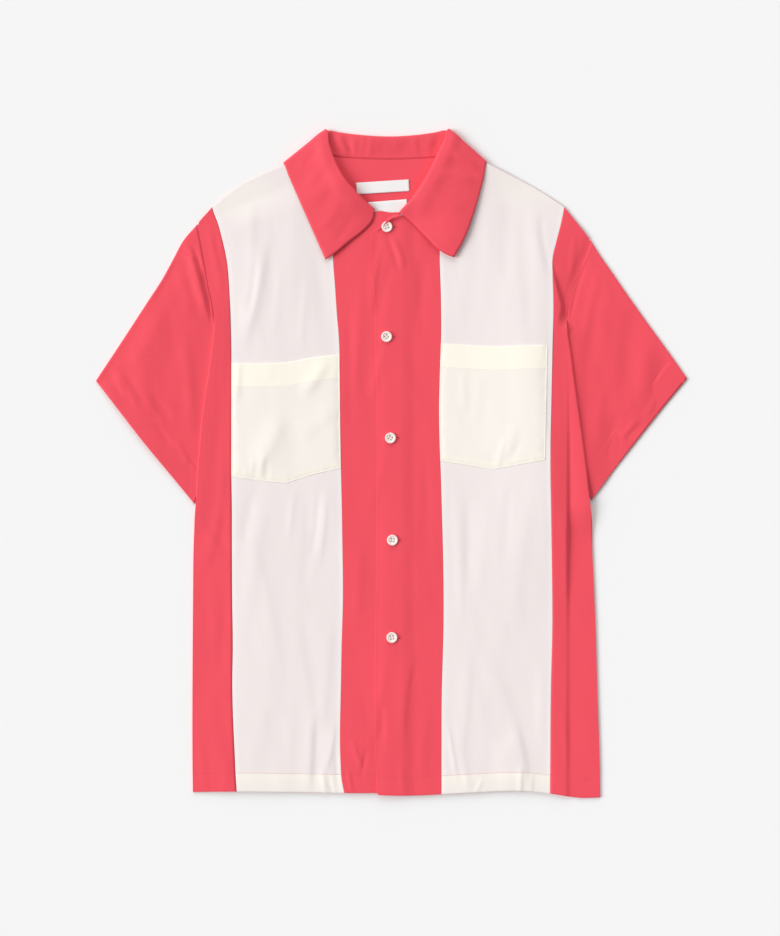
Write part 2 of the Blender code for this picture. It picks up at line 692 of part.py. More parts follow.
def collar_section(seam_xy, roll_xy, edge_xy, bow, stand_z, roll_height, fall_z):
    """Points across the collar band: up the stand, round the roll and out along the fall.

    stand_z and fall_z give the height at a place; roll_height is signed, and negative where
    the fall lies under the stand.
    """
    to_seam = (seam_xy - roll_xy) / np.linalg.norm(seam_xy - roll_xy)
    to_edge = (edge_xy - roll_xy) / np.linalg.norm(edge_xy - roll_xy)
    aside = np.array([-to_edge[1], to_edge[0]])
    stand_end = roll_xy + to_seam * COLLAR_FOLD_REACH
    fall_start = roll_xy + to_edge * COLLAR_FOLD_REACH
    low = stand_z(*stand_end)
    high = low + roll_height
    points = []
    for share in np.linspace(0, 1, STAND_STEPS + 1)[:-1]:
        xy = seam_xy + share * (stand_end - seam_xy)
        points.append((*xy, stand_z(*xy)))
    for angle in ROLL_ANGLES:
        a = math.radians(angle)
        direction = to_seam if angle < 0 else to_edge
        xy = roll_xy + direction * COLLAR_FOLD_REACH * (1 - math.cos(a))
        points.append((*xy, low + roll_height * 0.5 * (1 + math.sin(a))))
    extra = high - fall_z(*fall_start)
    for share in np.linspace(0, 1, FALL_STEPS + 1)[1:]:
        xy = fall_start + share * (edge_xy - fall_start)
        xy = xy + aside * bow * math.sin(math.pi * share)
        points.append((*xy, fall_z(*xy) + extra * (1 - share)))
    return np.array(points)


def collar_rows(rows, count):
    """The collar table's rows as a smooth run of stations."""
    keys = np.arange(len(rows["roll"]), dtype=float)
    at = np.linspace(0, keys[-1], count)
    return {name: along(keys, column, at) for name, column in rows.items()}


def station_xy(rows, i):
    return [np.array([rows[k + "_x"][i], rows[k + "_y"][i]]) for k in ("seam", "roll", "edge")]


def front_collar(rows, panel_mid):
    """Sections of a front half, its fall lying over its stand and over the front."""
    run = collar_rows(rows, COLLAR_STATIONS)

    def fall(x, y):
        return panel_mid(x, y) + STACK + COLLAR_CLEAR

    sections = []
    for i in range(COLLAR_STATIONS):
        seam_xy, roll_xy, edge_xy = station_xy(run, i)
        rise = COLLAR_STAND_RISE * smooth(i / (COLLAR_STATIONS - 1) * 3)

        def stand(x, y):
            share = math.dist((x, y), seam_xy) / math.dist(roll_xy, seam_xy)
            return panel_mid(x, y) + rise * smooth(share)

        height = 2 * run["roll"][i]
        sections.append(
            collar_section(seam_xy, roll_xy, edge_xy, run["bow"][i], stand, height, fall)
        )
    return sections


def back_collar():
    """Sections of the back half, its fall lying under its stand and under the back."""
    run = collar_rows(BACK_COLLAR, COLLAR_BACK_STATIONS)

    def fall(x, y):
        return BACK_FALL_MID

    sections = []
    for i in range(COLLAR_BACK_STATIONS):
        seam_xy, roll_xy, edge_xy = station_xy(run, i)
        high = BACK_FALL_MID + 2 * run["roll"][i]
        seam_z = float(back_mid(*seam_xy))

        def stand(x, y):
            share = math.dist((x, y), seam_xy) / math.dist(roll_xy, seam_xy)
            return seam_z + (high - seam_z) * smooth(share)

        drop = BACK_FALL_MID - stand(*roll_xy)
        sections.append(collar_section(seam_xy, roll_xy, edge_xy, 0.0, stand, drop, fall))
    return sections


def side_fold(front, before, back, after):
    """Moves the two sections at a side fold in from the silhouette and joins them by arcs.

    The arcs of the stand, the roll and the fall are nested, so they share their centre at the
    roll and spread from there to the neck seam and to the outer edge.
    """
    roll = slice(STAND_STEPS, STAND_STEPS + len(ROLL_ANGLES))
    middle = STAND_STEPS + len(ROLL_ANGLES) // 2
    last = len(front) - 1
    radius = 0.5 * np.abs(front[:, 2] - back[:, 2])
    keys = np.array([0, roll.start, roll.stop - 1, last])
    shifts = []
    for j, size in ((0, radius[0]), (middle, radius[roll].max()), (last, radius[last])):
        toward_front = before[j, :2] - front[j, :2]
        toward_back = after[j, :2] - back[j, :2]
        inward = toward_front / np.linalg.norm(toward_front)
        inward = inward + toward_back / np.linalg.norm(toward_back)
        inward /= np.linalg.norm(inward)
        shifts.append((*inward, size + 0.5 * WALL))
    shifts.insert(1, shifts[1])
    spread = [np.interp(np.arange(last + 1), keys, column) for column in zip(*shifts)]
    inward = np.stack(spread[:2], -1)
    inward /= np.linalg.norm(inward, axis=1, keepdims=True)
    centre = 0.5 * (front[:, :2] + back[:, :2]) + inward * spread[2][:, None]
    front[:, :2] = centre
    back[:, :2] = centre
    arcs = []
    for angle in SIDE_FOLD_ANGLES:
        a = math.radians(angle)
        xy = centre - inward * (radius * math.cos(a))[:, None]
        z = 0.5 * (front[:, 2] + back[:, 2]) + radius * math.sin(a)
        arcs.append(np.concatenate([xy, z[:, None]], axis=1))
    return arcs


def make_collar():
    """One folded band: fronts' falls lie on the body and the back's fall lies under it."""
    right = front_collar(RIGHT_COLLAR, front_mid)
    left = front_collar(LEFT_COLLAR, top_front_mid)
    back = back_collar()
    right_arcs = side_fold(right[-1], right[-2], back[0], back[1])
    left_arcs = side_fold(left[-1], left[-2], back[-1], back[-2])
    rows = right + right_arcs + back + left_arcs[::-1] + left[::-1]
    cloth("collar", wall_about(np.stack(rows)[:, ::-1]), RED)


def make_pocket(name, grid, pocket, sign):
    """A patch pocket made from the stripe's own points, moved out."""
    stripe_across = (grid[0, :, 0] - grid[0, 0, 0]) / (grid[0, -1, 0] - grid[0, 0, 0])
    last = pocket["across"][-1]
    across = np.array([a for a in stripe_across if a < last - 0.02] + [last])
    top = along(pocket["across"], pocket["top"], across)
    bottom = along(pocket["across"], pocket["bottom"], across)
    inner = [y for y in LEVELS if bottom.max() + 1 < y < top.min() - 1]
    columns = []
    for a, high, low in zip(across, top, bottom):
        columns.append([on_grid(grid, a, y) for y in [low, *inner, high]])
    mid = np.array(columns).transpose(1, 0, 2)
    mid[..., 2] += STACK + EASE
    cloth(name, wall_about(oriented(mid, sign)), CREAM)


def height_on(piece):
    """Function giving the height of a piece's upper face at a place, in millimetres."""
    tree = BVHTree.FromPolygons(
        [v.co for v in piece.data.vertices], [p.vertices[:] for p in piece.data.polygons]
    )

    def height(x, y):
        hit = tree.ray_cast(Vector((x * MM, y * MM, 1.0)), Vector((0, 0, -1)))[0]
        return hit.z / MM

    return height


def make_label(name, spec, on_back):
    """A small woven label lying on the inside of the back."""
    turn = math.radians(spec["turn"])
    rows = []
    for v in (-0.5, 0.0, 0.5):
        row = []
        for u in (-0.5, -0.25, 0.0, 0.25, 0.5):
            dx, dy = u * spec["width"], v * spec["height"]
            x = spec["x"] + dx * math.cos(turn) - dy * math.sin(turn)
            y = spec["y"] + dx * math.sin(turn) + dy * math.cos(turn)
            row.append((x, y, on_back(x, y) + SEAM_GAP + 0.5 * WALL + LABEL_EASE))
        rows.append(row)
    cloth(name, wall_about(np.array(rows)), WHITE)


def circle(radius, sides):
    angles = [2 * math.pi * k / sides for k in range(sides)]
    return [(radius * math.cos(a), radius * math.sin(a)) for a in angles]


def turned(profile, sides):
    """Closed body of revolution about Z from a (radius, height) profile that starts and ends on
    the axis."""
    shape = bmesh.new()
    rings = []
    for radius, height in profile:
        if radius == 0:
            rings.append([shape.verts.new((0, 0, height * MM))])
            continue
        points = [(x * MM, y * MM, height * MM) for x, y in circle(radius, sides)]
        rings.append([shape.verts.new(point) for point in points])
    for low, high in zip(rings, rings[1:]):
        for k in range(sides):
            n = (k + 1) % sides
            if len(low) == 1:
                shape.faces.new((low[0], high[n], high[k]))
            elif len(high) == 1:
                shape.faces.new((low[k], low[n], high[0]))
            else:
                shape.faces.new((low[k], low[n], high[n], high[k]))
    return shape


def hole_cutter(name):
    """Four thin rods, hidden, that cut a button's thread holes."""
    shape = bmesh.new()
    offset = 0.5 * BUTTON_HOLE_SPACING * MM
    for sx in (-1, 1):
        for sy in (-1, 1):
            made = bmesh.ops.create_cone(
                shape, cap_ends=True, segments=BUTTON_HOLE_SIDES, radius1=0.5 * BUTTON_HOLE * MM,
                radius2=0.5 * BUTTON_HOLE * MM, depth=4 * BUTTON_THICKNESS * MM,
            )
            bmesh.ops.translate(shape, verts=made["verts"], vec=(sx * offset, sy * offset, 0))
    mesh = bpy.data.meshes.new(name)
    shape.to_mesh(mesh)
    shape.free()
    cutter = bpy.data.objects.new(name, mesh)
    bpy.context.scene.collection.objects.link(cutter)
    cutter.hide_render = True
    cutter.display_type = "WIRE"
    return cutter


def make_buttons(on_front):
    """Five four-hole buttons down the top front, each with its hidden cutter."""
    radius = 0.5 * BUTTON_DIAMETER
    dish = radius - BUTTON_RIM
    floor = BUTTON_THICKNESS - BUTTON_DISH
    profile = (
        (0, 0), (radius - BUTTON_EDGE_ROUND, 0), (radius, BUTTON_EDGE_ROUND),
        (radius, BUTTON_THICKNESS - BUTTON_EDGE_ROUND), (dish, BUTTON_THICKNESS),
        (dish - BUTTON_DISH_SLOPE, floor), (0, floor),
    )
    rim = circle(radius, BUTTON_SEAT_SIDES)
    for index, (x, y) in enumerate(zip(BUTTONS["x"], BUTTONS["y"]), start=1):
        name = f"button_{index}"
        shape = turned(profile, BUTTON_SIDES)
        mesh = bpy.data.meshes.new(name)
        shape.to_mesh(mesh)
        shape.free()
        made = place(name, mesh, SHELL_WHITE, 0.35)
        seat = max(on_front(x + dx, y + dy) for dx, dy in rim) + SEAM_GAP
        made.location = (x * MM, y * MM, seat * MM)
        cutter = hole_cutter(name + "_holes")
        cutter.location = made.location
        cut = made.modifiers.new("thread_holes", "BOOLEAN")
        cut.operation = "DIFFERENCE"
        cut.object = cutter
        cut.solver = "EXACT"


def main():
    for old in list(bpy.data.objects):
        bpy.data.objects.remove(old, do_unlink=True)
    on_back = height_on(make_back())
    right_stripe, left_stripe, top_front = make_fronts()
    make_sleeve("sleeve_right", RIGHT_SEAMS, -1, RIGHT_SLEEVE_TOP, RIGHT_CUFF)
    make_sleeve("sleeve_left", LEFT_SEAMS, 1, LEFT_SLEEVE_TOP, LEFT_CUFF)
    make_collar()
    make_pocket("pocket_right", right_stripe, RIGHT_POCKET, -1)
    make_pocket("pocket_left", left_stripe, LEFT_POCKET, 1)
    make_label("neck_label", NECK_LABEL, on_back)
    make_label("size_label", SIZE_LABEL, on_back)
    make_buttons(height_on(top_front))


main()
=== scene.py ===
"""A short-sleeved bowling shirt, buttoned and laid flat: its cloth, sewing, buttons and stage.

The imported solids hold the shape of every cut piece. This script dresses them: each cloth solid
is replaced by a thin shell on the same form with its creases, and the sewing, the labels, the
detailed buttons and the materials are added. Right and left are the wearer's, so the right
half has negative X. Tables and shell sizes are in millimetres, and meshes are made in metres.
"""

import math

import bmesh
import bpy
import numpy as np
from bpy.props import FloatProperty, FloatVectorProperty, IntProperty, PointerProperty
from mathutils import Matrix, Vector
from mathutils.bvhtree import BVHTree


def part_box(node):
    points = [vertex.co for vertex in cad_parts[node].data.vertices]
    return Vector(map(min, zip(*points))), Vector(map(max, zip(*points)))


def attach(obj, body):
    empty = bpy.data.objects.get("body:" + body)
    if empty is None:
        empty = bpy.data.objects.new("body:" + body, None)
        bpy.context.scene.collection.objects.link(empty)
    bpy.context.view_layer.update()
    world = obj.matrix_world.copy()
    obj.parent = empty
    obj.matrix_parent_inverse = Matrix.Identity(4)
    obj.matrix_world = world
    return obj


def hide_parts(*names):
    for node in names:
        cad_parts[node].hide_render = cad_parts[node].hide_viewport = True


bl_info = {
    "name": "Bowling shirt",
    "version": (1, 0, 0),
    "blender": (4, 5, 0),
    "location": "3D View > Sidebar > Shirt",
    "description": "Dresses a bowling shirt that is laid flat: cloth, sewing, labels and buttons",
    "category": "Add Mesh",
}

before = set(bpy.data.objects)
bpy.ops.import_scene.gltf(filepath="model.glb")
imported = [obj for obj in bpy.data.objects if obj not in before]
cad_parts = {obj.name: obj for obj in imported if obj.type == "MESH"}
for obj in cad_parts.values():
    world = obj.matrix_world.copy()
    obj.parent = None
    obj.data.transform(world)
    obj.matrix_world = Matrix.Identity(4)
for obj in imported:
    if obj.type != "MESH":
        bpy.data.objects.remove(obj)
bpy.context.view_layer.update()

MM = 0.001

# ---------------------------------------------------------------- the shirt's own sizes, in mm

WALL = 1.0
SEAM_GAP = 0.3
STACK = WALL + SEAM_GAP
EASE = 0.05

NECK_LIFT = 1.5
NECK_LIFT_REACH = 48.0
NECK_BULK = 1.1
NECK_BULK_REACH = 24.0
NECK_POINT_MIDDLE = -2.5
NECK_POINT_APART = 76.5
NECK_POINT_Y = 338.0
FRONT_LOFT = 1.5
SLEEVE_LOFT = (1.6, 0.3 * 1.6)
LOFT_REACH = 60.0
# A pair holds a size for the right half and then for the left half.
# A folded side edge: its middle height, how far in from it the cloth rises, and its radius
SIDE_FOLD = ((3.2, 30.0, 0.9), (7.2, 44.0, 1.3))
# Level at which that fold has run out, and the length over which it does
SIDE_FOLD_TOP = ((200.0, 41.0), (160.0, 16.0))
LEFT_STEP_WIDTH = 3.0
LEFT_STEP_TOP = 232.0
LEFT_STEP_RUN_IN = 60.0
TUCK_FULL_TURN = 6.0
TUCK_ARC_STEPS = 12
TUCK_LEAST_STEP = 0.12
TUCK_RUN_BACK = 2.5
SHOULDER_EASE = 30.0
SLEEVE_PUFF_FROM = 3.0
SLEEVE_PUFF_REACH = (70.0, 45.0)
SLEEVE_DRAPE = 1.1
LEFT_SLOPE_TOP = 168.0
LEFT_SLOPE_RUN_IN = 34.0
SLEEVE_INSET_REACH = 30.0
SLEEVE_FOLD_ARC = 6
SLEEVE_RUN = 150
ARM_GAP = 0.1
SLEEVE_PRESSED = (0.2, 0.0)
SLEEVE_PRESSED_REACH = 34.0
LEAST_SLEEVE = 1.2
CUFF_STANDS = (0.5, -0.5)
CUFF_STANDS_REACH = 45.0
HEM_STANDS = 0.3
HEM_STANDS_REACH = 30.0
OVER_SLEEVE_LOW = -84.0
OVER_SLEEVE_RUN_IN = 41.0
SHOULDER_PEAK_X = -4.0
SHOULDER_PEAK_Y = 348.0
SHOULDER_SLOPE = 0.42
UNDER_FRONT_EDGE = 9.0
PLACKET_EASE = 16.0

# Rows of a panel: straight ones from the foot level to the break level, and above them rows
# that lean over to follow the shoulder
FOOT_LEVEL = -332.0
BREAK_LEVEL = 200.0
UNDERARM_LEVEL = -24.0
HEM_FOOT = -358.0
HEM_ROWS = 11
TOP_ROWS = 60
TOP_RUN = 110.0
# Distances in from a raw edge at which a grid has more points, so that it can be rounded
NEAR_EDGE = np.array([0.12, 0.45])

# Sewing
SEAM_CLOSE = 0.13
NECK_GAP = 0.06
EDGE_ROUND = 0.6
BACK_SHOULDER_INSET = 1.1
# Spacing of the back's columns, in grid steps, and its width for the columns near its edges
BACK_COLUMN_STEP = 2.4
BACK_SHOULDER_POINTS = 30
FRONT_SHOULDER_POINTS = 36
SIDE_TOP_POINTS = 16
BACK_WIDTH = 430.0
HEM_DEPTH = 20.0
CUFF_DEPTH = 27.0
POCKET_BAND = 25.0
COLLAR_TOPSTITCH = 5.5
POCKET_TOPSTITCH = 1.8
POCKET_EDGE = 0.38
POCKET_GROOVE = 0.2
POCKET_GROOVE_WIDTH = 0.75
POCKET_PUCKER = 0.16
POCKET_PUCKER_AT = 3.0
POCKET_PUCKER_WIDTH = 4.5
POCKET_DRAPE = 0.4
POCKET_DEPTH = 130.0
POCKET_EDGE_STEPS = np.array([0.0, 0.12, 0.45, 1.1, 1.75, 2.5, 3.5])
POCKET_LOFT = 0.5
POCKET_LOFT_REACH = 9.0


def table(names, *rows):
    """A short table, as a dict of its named columns."""
    return dict(zip(names.split(), np.array(rows, float).T))


FOLD_COLUMNS = "x0 y0 x1 y1 bow width height"
CREASE_COLUMNS = FOLD_COLUMNS + " lean"
SEAM_COLUMNS = "y inner outer edge tuck"
COLLAR_COLUMNS = "seam_x seam_y roll_x roll_y edge_x edge_y roll bow"

RIGHT_SEAMS = table(
    SEAM_COLUMNS,
    (-358, -50.8, -166.8, -214.4, 0),
    (-341, -53.8, -167.8, -214.6, 0),
    (-320, -55.0, -168.8, -214.8, 0),
    (-234, -54.4, -171.7, -214.8, 0),
    (-200, -53.8, -171.2, -214.6, 0),
    (-147, -52.4, -171.8, -214.2, 0),
    (-82, -53.0, -172.1, -213.3, 0),
    (-44, -53.6, -172.2, -211.3, 0),
    (-10, -54.4, -172.8, -210.1, 6),
    (14, -54.9, -172.8, -208.2, 10),
    (49, -55.4, -172.8, -205.0, 15),
    (72, -55.6, -172.8, -201.9, 16),
    (96, -55.9, -172.8, -198.3, 14),
    (124, -56.2, -172.9, -194.7, 9),
    (144, -57.3, -173.4, -192.3, 3.4),
    (158, -58.6, -173.8, -191.8, 0),
    (172, -59.6, -174.3, -193.4, 0),
    (193, -61.0, -175.3, -198.0, 0),
    (217, -63.0, -177.4, -201.8, 0),
    (242, -64.2, -182.6, -206.4, 0),
    (257, -65.0, -186.6, -209.4, 0),
    (277, -66.0, -193.4, -212.0, 0),
    (298, -66.0, -193.6, -212.0, 0),
    (340, -65.0, -193.6, -212.0, 0),
)
LEFT_SEAMS = table(
    SEAM_COLUMNS,
    (-361, 54.0, 171.2, 225.2, 0),
    (-320, 54.0, 171.4, 224.6, 0),
    (-255, 54.2, 171.8, 222.5, 0),
    (-169, 56.2, 173.6, 219.9, 0),
    (-104, 55.8, 172.9, 217.1, 0),
    (-44, 54.2, 171.8, 214.3, 0),
    (-10, 53.2, 171.2, 210.9, 6),
    (25, 51.9, 171.3, 206.5, 12),
    (58, 51.4, 172.1, 201.8, 14),
    (90, 52.0, 172.8, 197.4, 13),
    (119, 52.9, 173.4, 193.7, 9),
    (138, 53.6, 173.8, 190.8, 3),
    (152, 53.7, 174.2, 188.9, 0),
    (168, 53.5, 174.5, 191.0, 0),
    (182, 53.3, 174.3, 194.4, 0),
    (206, 52.6, 173.6, 202.0, 0),
    (222, 52.5, 173.8, 208.3, 0),
    (240, 53.2, 178.0, 214.8, 0),
    (262, 56.0, 183.6, 217.0, 0),
    (277, 58.0, 186.4, 217.0, 0),
    (298, 60.0, 187.0, 217.0, 0),
    (340, 62.0, 187.0, 217.0, 0),
)
# Where the left fold runs on as a step over the strip, up to the stripe
LEFT_STEP = table("y x", (150, 190.5), (187, 180.0), (212, 174.0))
# Height that the left sleeve has beside that fold, against its distance from it
LEFT_SLEEVE_SLOPE = table(
    "beyond z", (-12, 0), (-4, 2.0), (0.3, 2.6), (6, 2.3), (30, 0), (42, 0), (90, -0.2), (130, -0.2)
)
RIGHT_SIDE_TOP = table(
    "across x y", (0, -193.4, 276.8), (0.35, -199.0, 270.6), (0.7, -204.8, 264.2), (1, -210.2, 257.8)
)
RIGHT_SHOULDER = table(
    "across x y",
    (0.3, -79.8, 336.2), (0.42, -98.0, 329.4), (0.56, -118.0, 320.8), (0.7, -138.0, 312.6),
    (0.85, -164.0, 299.6), (1, -193.4, 276.8),
)
LEFT_SHOULDER = table(
    "across x y",
    (0.3, 74.8, 336.2), (0.42, 90.0, 330.0), (0.56, 105.5, 322.6), (0.7, 132.0, 309.2),
    (0.85, 159.0, 294.6), (1, 186.4, 276.8),
)
LEFT_SIDE_TOP = table(
    "across x y", (0, 186.4, 276.8), (0.35, 196.0, 265.0), (0.7, 206.2, 252.3), (1, 215.4, 240.4)
)
UNDER_FRONT_TOP = table(
    "across x y", (0.7, -13.0, 272.6), (0.84, -2.0, 270.8), (1, 9.0, 271.0)
)
TOP_FRONT_TOP = table(
    "across x y",
    (0, -21.4, 243.0), (0.03, -20.4, 248.4), (0.08, -17.0, 252.6), (0.15, -11.8, 256.2),
    (0.21, -7.8, 260.4), (0.27, -3.4, 265.4), (0.34, 2.0, 268.2), (0.4, 7.0, 268.4),
)
BACK_RIGHT_SHOULDER = table(
    "across x y",
    (0, -209.4, 257.6), (0.05, -193.6, 276.4), (0.11, -165.0, 299.0), (0.17, -138.0, 312.4),
    (0.22, -118.0, 320.6), (0.27, -98.0, 329.0), (0.31, -80.0, 335.8),
)
BACK_LEFT_SHOULDER = table(
    "across x y",
    (0.66, 75.0, 335.8), (0.7, 90.0, 329.6), (0.74, 105.5, 322.2), (0.8, 132.0, 308.8),
    (0.86, 159.0, 294.0), (0.93, 186.6, 276.2), (1, 214.8, 240.2),
)
HEM = table(
    "x y",
    (-215, -354.6), (-168, -353.9), (-105, -354.5), (-53, -355.5), (-30, -355.6),
    (-17.4, -355.5), (-16.4, -355.6), (-14.4, -357.2), (-11, -357.8), (-6, -358.0),
    (28, -358.1), (54, -356.8), (96, -354.5), (148, -353.6), (172, -356.3), (204, -360.8),
    (226, -360.4),
)
PLACKET = table(
    "y x",
    (-360, -15.2), (-331, -16.6), (-100, -16.5), (103, -16.4), (133, -17.2), (156, -17.6),
    (191, -19.4), (209, -22.6), (233, -22.5), (254, -21.2), (300, -21.2),
)
RIGHT_SLEEVE_TOP = table(
    "x y", (-209.8, 258.0), (-224.1, 241.4), (-236.0, 219.8), (-247.9, 198.2), (-261.9, 176.6),
    (-290.0, 133.4), (-319.1, 89.4),
)
RIGHT_CUFF = table(
    "x y", (-319.1, 89.4), (-302.9, 68.6), (-269.5, 25.4), (-233.8, -17.8), (-212.6, -43.6)
)
LEFT_SLEEVE_TOP = table(
    "x y", (215.2, 240.4), (228.4, 219.8), (236.0, 209.2), (243.5, 198.2), (273.8, 155.0),
    (305.1, 111.8), (319.1, 91.8),
)
LEFT_CUFF = table(
    "x y", (319.1, 91.8), (299.7, 68.6), (265.1, 25.4), (231.7, -17.8), (215.6, -39.6)
)
RIGHT_COLLAR = table(
    COLLAR_COLUMNS,
    (-23.0, 269.8, -17.5, 273.5, -71.0, 219.4, 0.9, 3.0),
    (-44.0, 278.5, -33.2, 287.6, -80.0, 239.9, 2.4, 0),
    (-65.0, 297.5, -51.2, 308.2, -91.6, 266.3, 3.2, 0),
    (-77.0, 318.0, -64.0, 334.2, -104.2, 294.9, 2.4, 0),
    (-79.0, 338.3, -71.2, 361.0, -117.2, 324.5, 1.1, 0),
)
LEFT_COLLAR = table(
    COLLAR_COLUMNS,
    (15.0, 267.0, 8.4, 270.8, 67.6, 222.0, 0.9, -2.0),
    (37.5, 276.0, 22.4, 286.6, 79.6, 244.5, 2.4, 0),
    (58.0, 294.5, 37.2, 309.3, 88.2, 268.0, 3.2, 0),
    (70.0, 316.0, 51.4, 337.4, 96.4, 295.8, 2.4, 0),
    (74.0, 338.3, 62.4, 361.3, 103.4, 325.4, 1.1, 0),
)
BACK_COLLAR = table(
    COLLAR_COLUMNS,
    (-79.0, 338.3, -71.2, 361.0, -117.2, 324.5, 1.1, 0),
    (-60.0, 330.9, -56.0, 357.0, -88.0, 311.0, 1.2, 0),
    (-32.0, 328.8, -30.0, 353.8, -45.0, 304.5, 1.8, 0),
    (-2.0, 328.0, -2.0, 352.4, -4.0, 303.5, 2.0, 0),
    (28.0, 328.9, 25.0, 353.9, 36.0, 304.5, 1.8, 0),
    (55.0, 331.2, 48.0, 357.2, 76.0, 311.6, 1.2, 0),
    (74.0, 338.3, 62.4, 361.3, 103.4, 325.4, 1.1, 0),
)
# How far the front end of each leaf bulges past a straight line from its roll to its tip
RIGHT_LEAF_END = table(
    "share out", (0, 0), (0.1, 5.2), (0.25, 6.9), (0.4, 6.0), (0.56, 4.2), (0.85, 1.9), (1, 0)
)
LEFT_LEAF_END = table(
    "share out", (0, 0), (0.2, 0), (0.4, -1.5), (0.55, -2.8), (0.78, -4.2), (0.92, -2.4), (1, 0)
)
LEAF_END_STATIONS = 9
# How far a leaf's outer edge stands off the front at its tip and behind it, and how much wider
# its roll is half-way back
LEAF_LIFTS = ((2.0, 1.2), (3.6, 4.6))
LEAF_SPREAD = (0.3, 3.4)
# A leaf's soft hump beside its roll: its height, and its place and width as shares of the fall
LEAF_HUMP = 1.3
LEAF_HUMP_AT = 0.17
LEAF_HUMP_WIDTH = 0.13
COLLAR_STATIONS = 41
COLLAR_NEXT_STATION = 5
COLLAR_BACK_STATIONS = 61
COLLAR_BACK_NEXT = 5
STAND_STEPS = 9
ROLL_ANGLES = np.linspace(-90, 90, 13)
FALL_STEPS = 30
SIDE_FOLD_ANGLES = np.linspace(78, -78, 11)
COLLAR_FOLD_REACH = 0.9
COLLAR_STAND_RISE = 1.0
COLLAR_CLEAR = 0.1
BACK_FALL_MID = 0.5 * WALL
BACK_FALL_MIDDLE_X = -6.0
BACK_FALL_MIDDLE_Y = 303.5
BACK_FALL_RISE = 21.0
BACK_FALL_HALF_WIDTH = 111.0

# The largest soft folds, as in the solids: a ridge where height is positive, or a trough
FOLDS = table(
    FOLD_COLUMNS,
    (-140, 235, -160, 112, 4, 15, 0.7),
    (-112, 45, -146, -20, 3, 13, 0.6),
    (-76, -250, -88, -362, 0, 12, 0.9),
    (-150, -90, -96, -330, -8, 24, 0.5),
    (-60, -60, -75, -190, 0, 22, -0.5),
    (123, -290, 133, -362, 0, 12, 0.9),
    (174, 214, 190, 140, 2, 10, 1.0),
    (178, -130, 206, -250, 6, 14, 0.6),
    (-200, -55, -170, -100, 0, 12, -0.5),
    (100, 90, 120, -200, 10, 26, 0.4),
    (-4, 250, 8, 206, 2, 9, 0.5),
    (-256, 170, -262, 40, 6, 20, 0.8),
    (-298, 110, -280, 50, 2, 14, -0.4),
    (262, 165, 266, 30, -6, 20, 0.8),
    (300, 110, 284, 50, -2, 14, -0.4),
)
RIGHT_POCKET = table(
    "across top bottom",
    (0, 117.6, -5.0), (0.25, 114.0, -11.6), (0.5, 108.9, -21.2), (0.75, 107.9, -18.4),
    (1, 108.4, -14.0),
)
LEFT_POCKET = table(
    "across top bottom",
    (0, 129.4, 2.6), (0.25, 127.4, -1.6), (0.48, 126.0, -6.4), (0.75, 127.0, -0.4),
    (0.955, 127.6, 4.2),
)
NECK_LABEL = dict(x=-9.4, y=298.4, width=57.0, height=12.6, turn=3.6)
SIZE_LABEL = dict(x=-3.5, y=272.6, width=42.0, height=22.0, turn=4.5)
LABEL_THICKNESS = 0.5
LABEL_LIFT = 0.62
LABEL_RIPPLE = 0.16
LABEL_STITCH_IN = 0.45
LABEL_STITCH_DOWN = 0.8

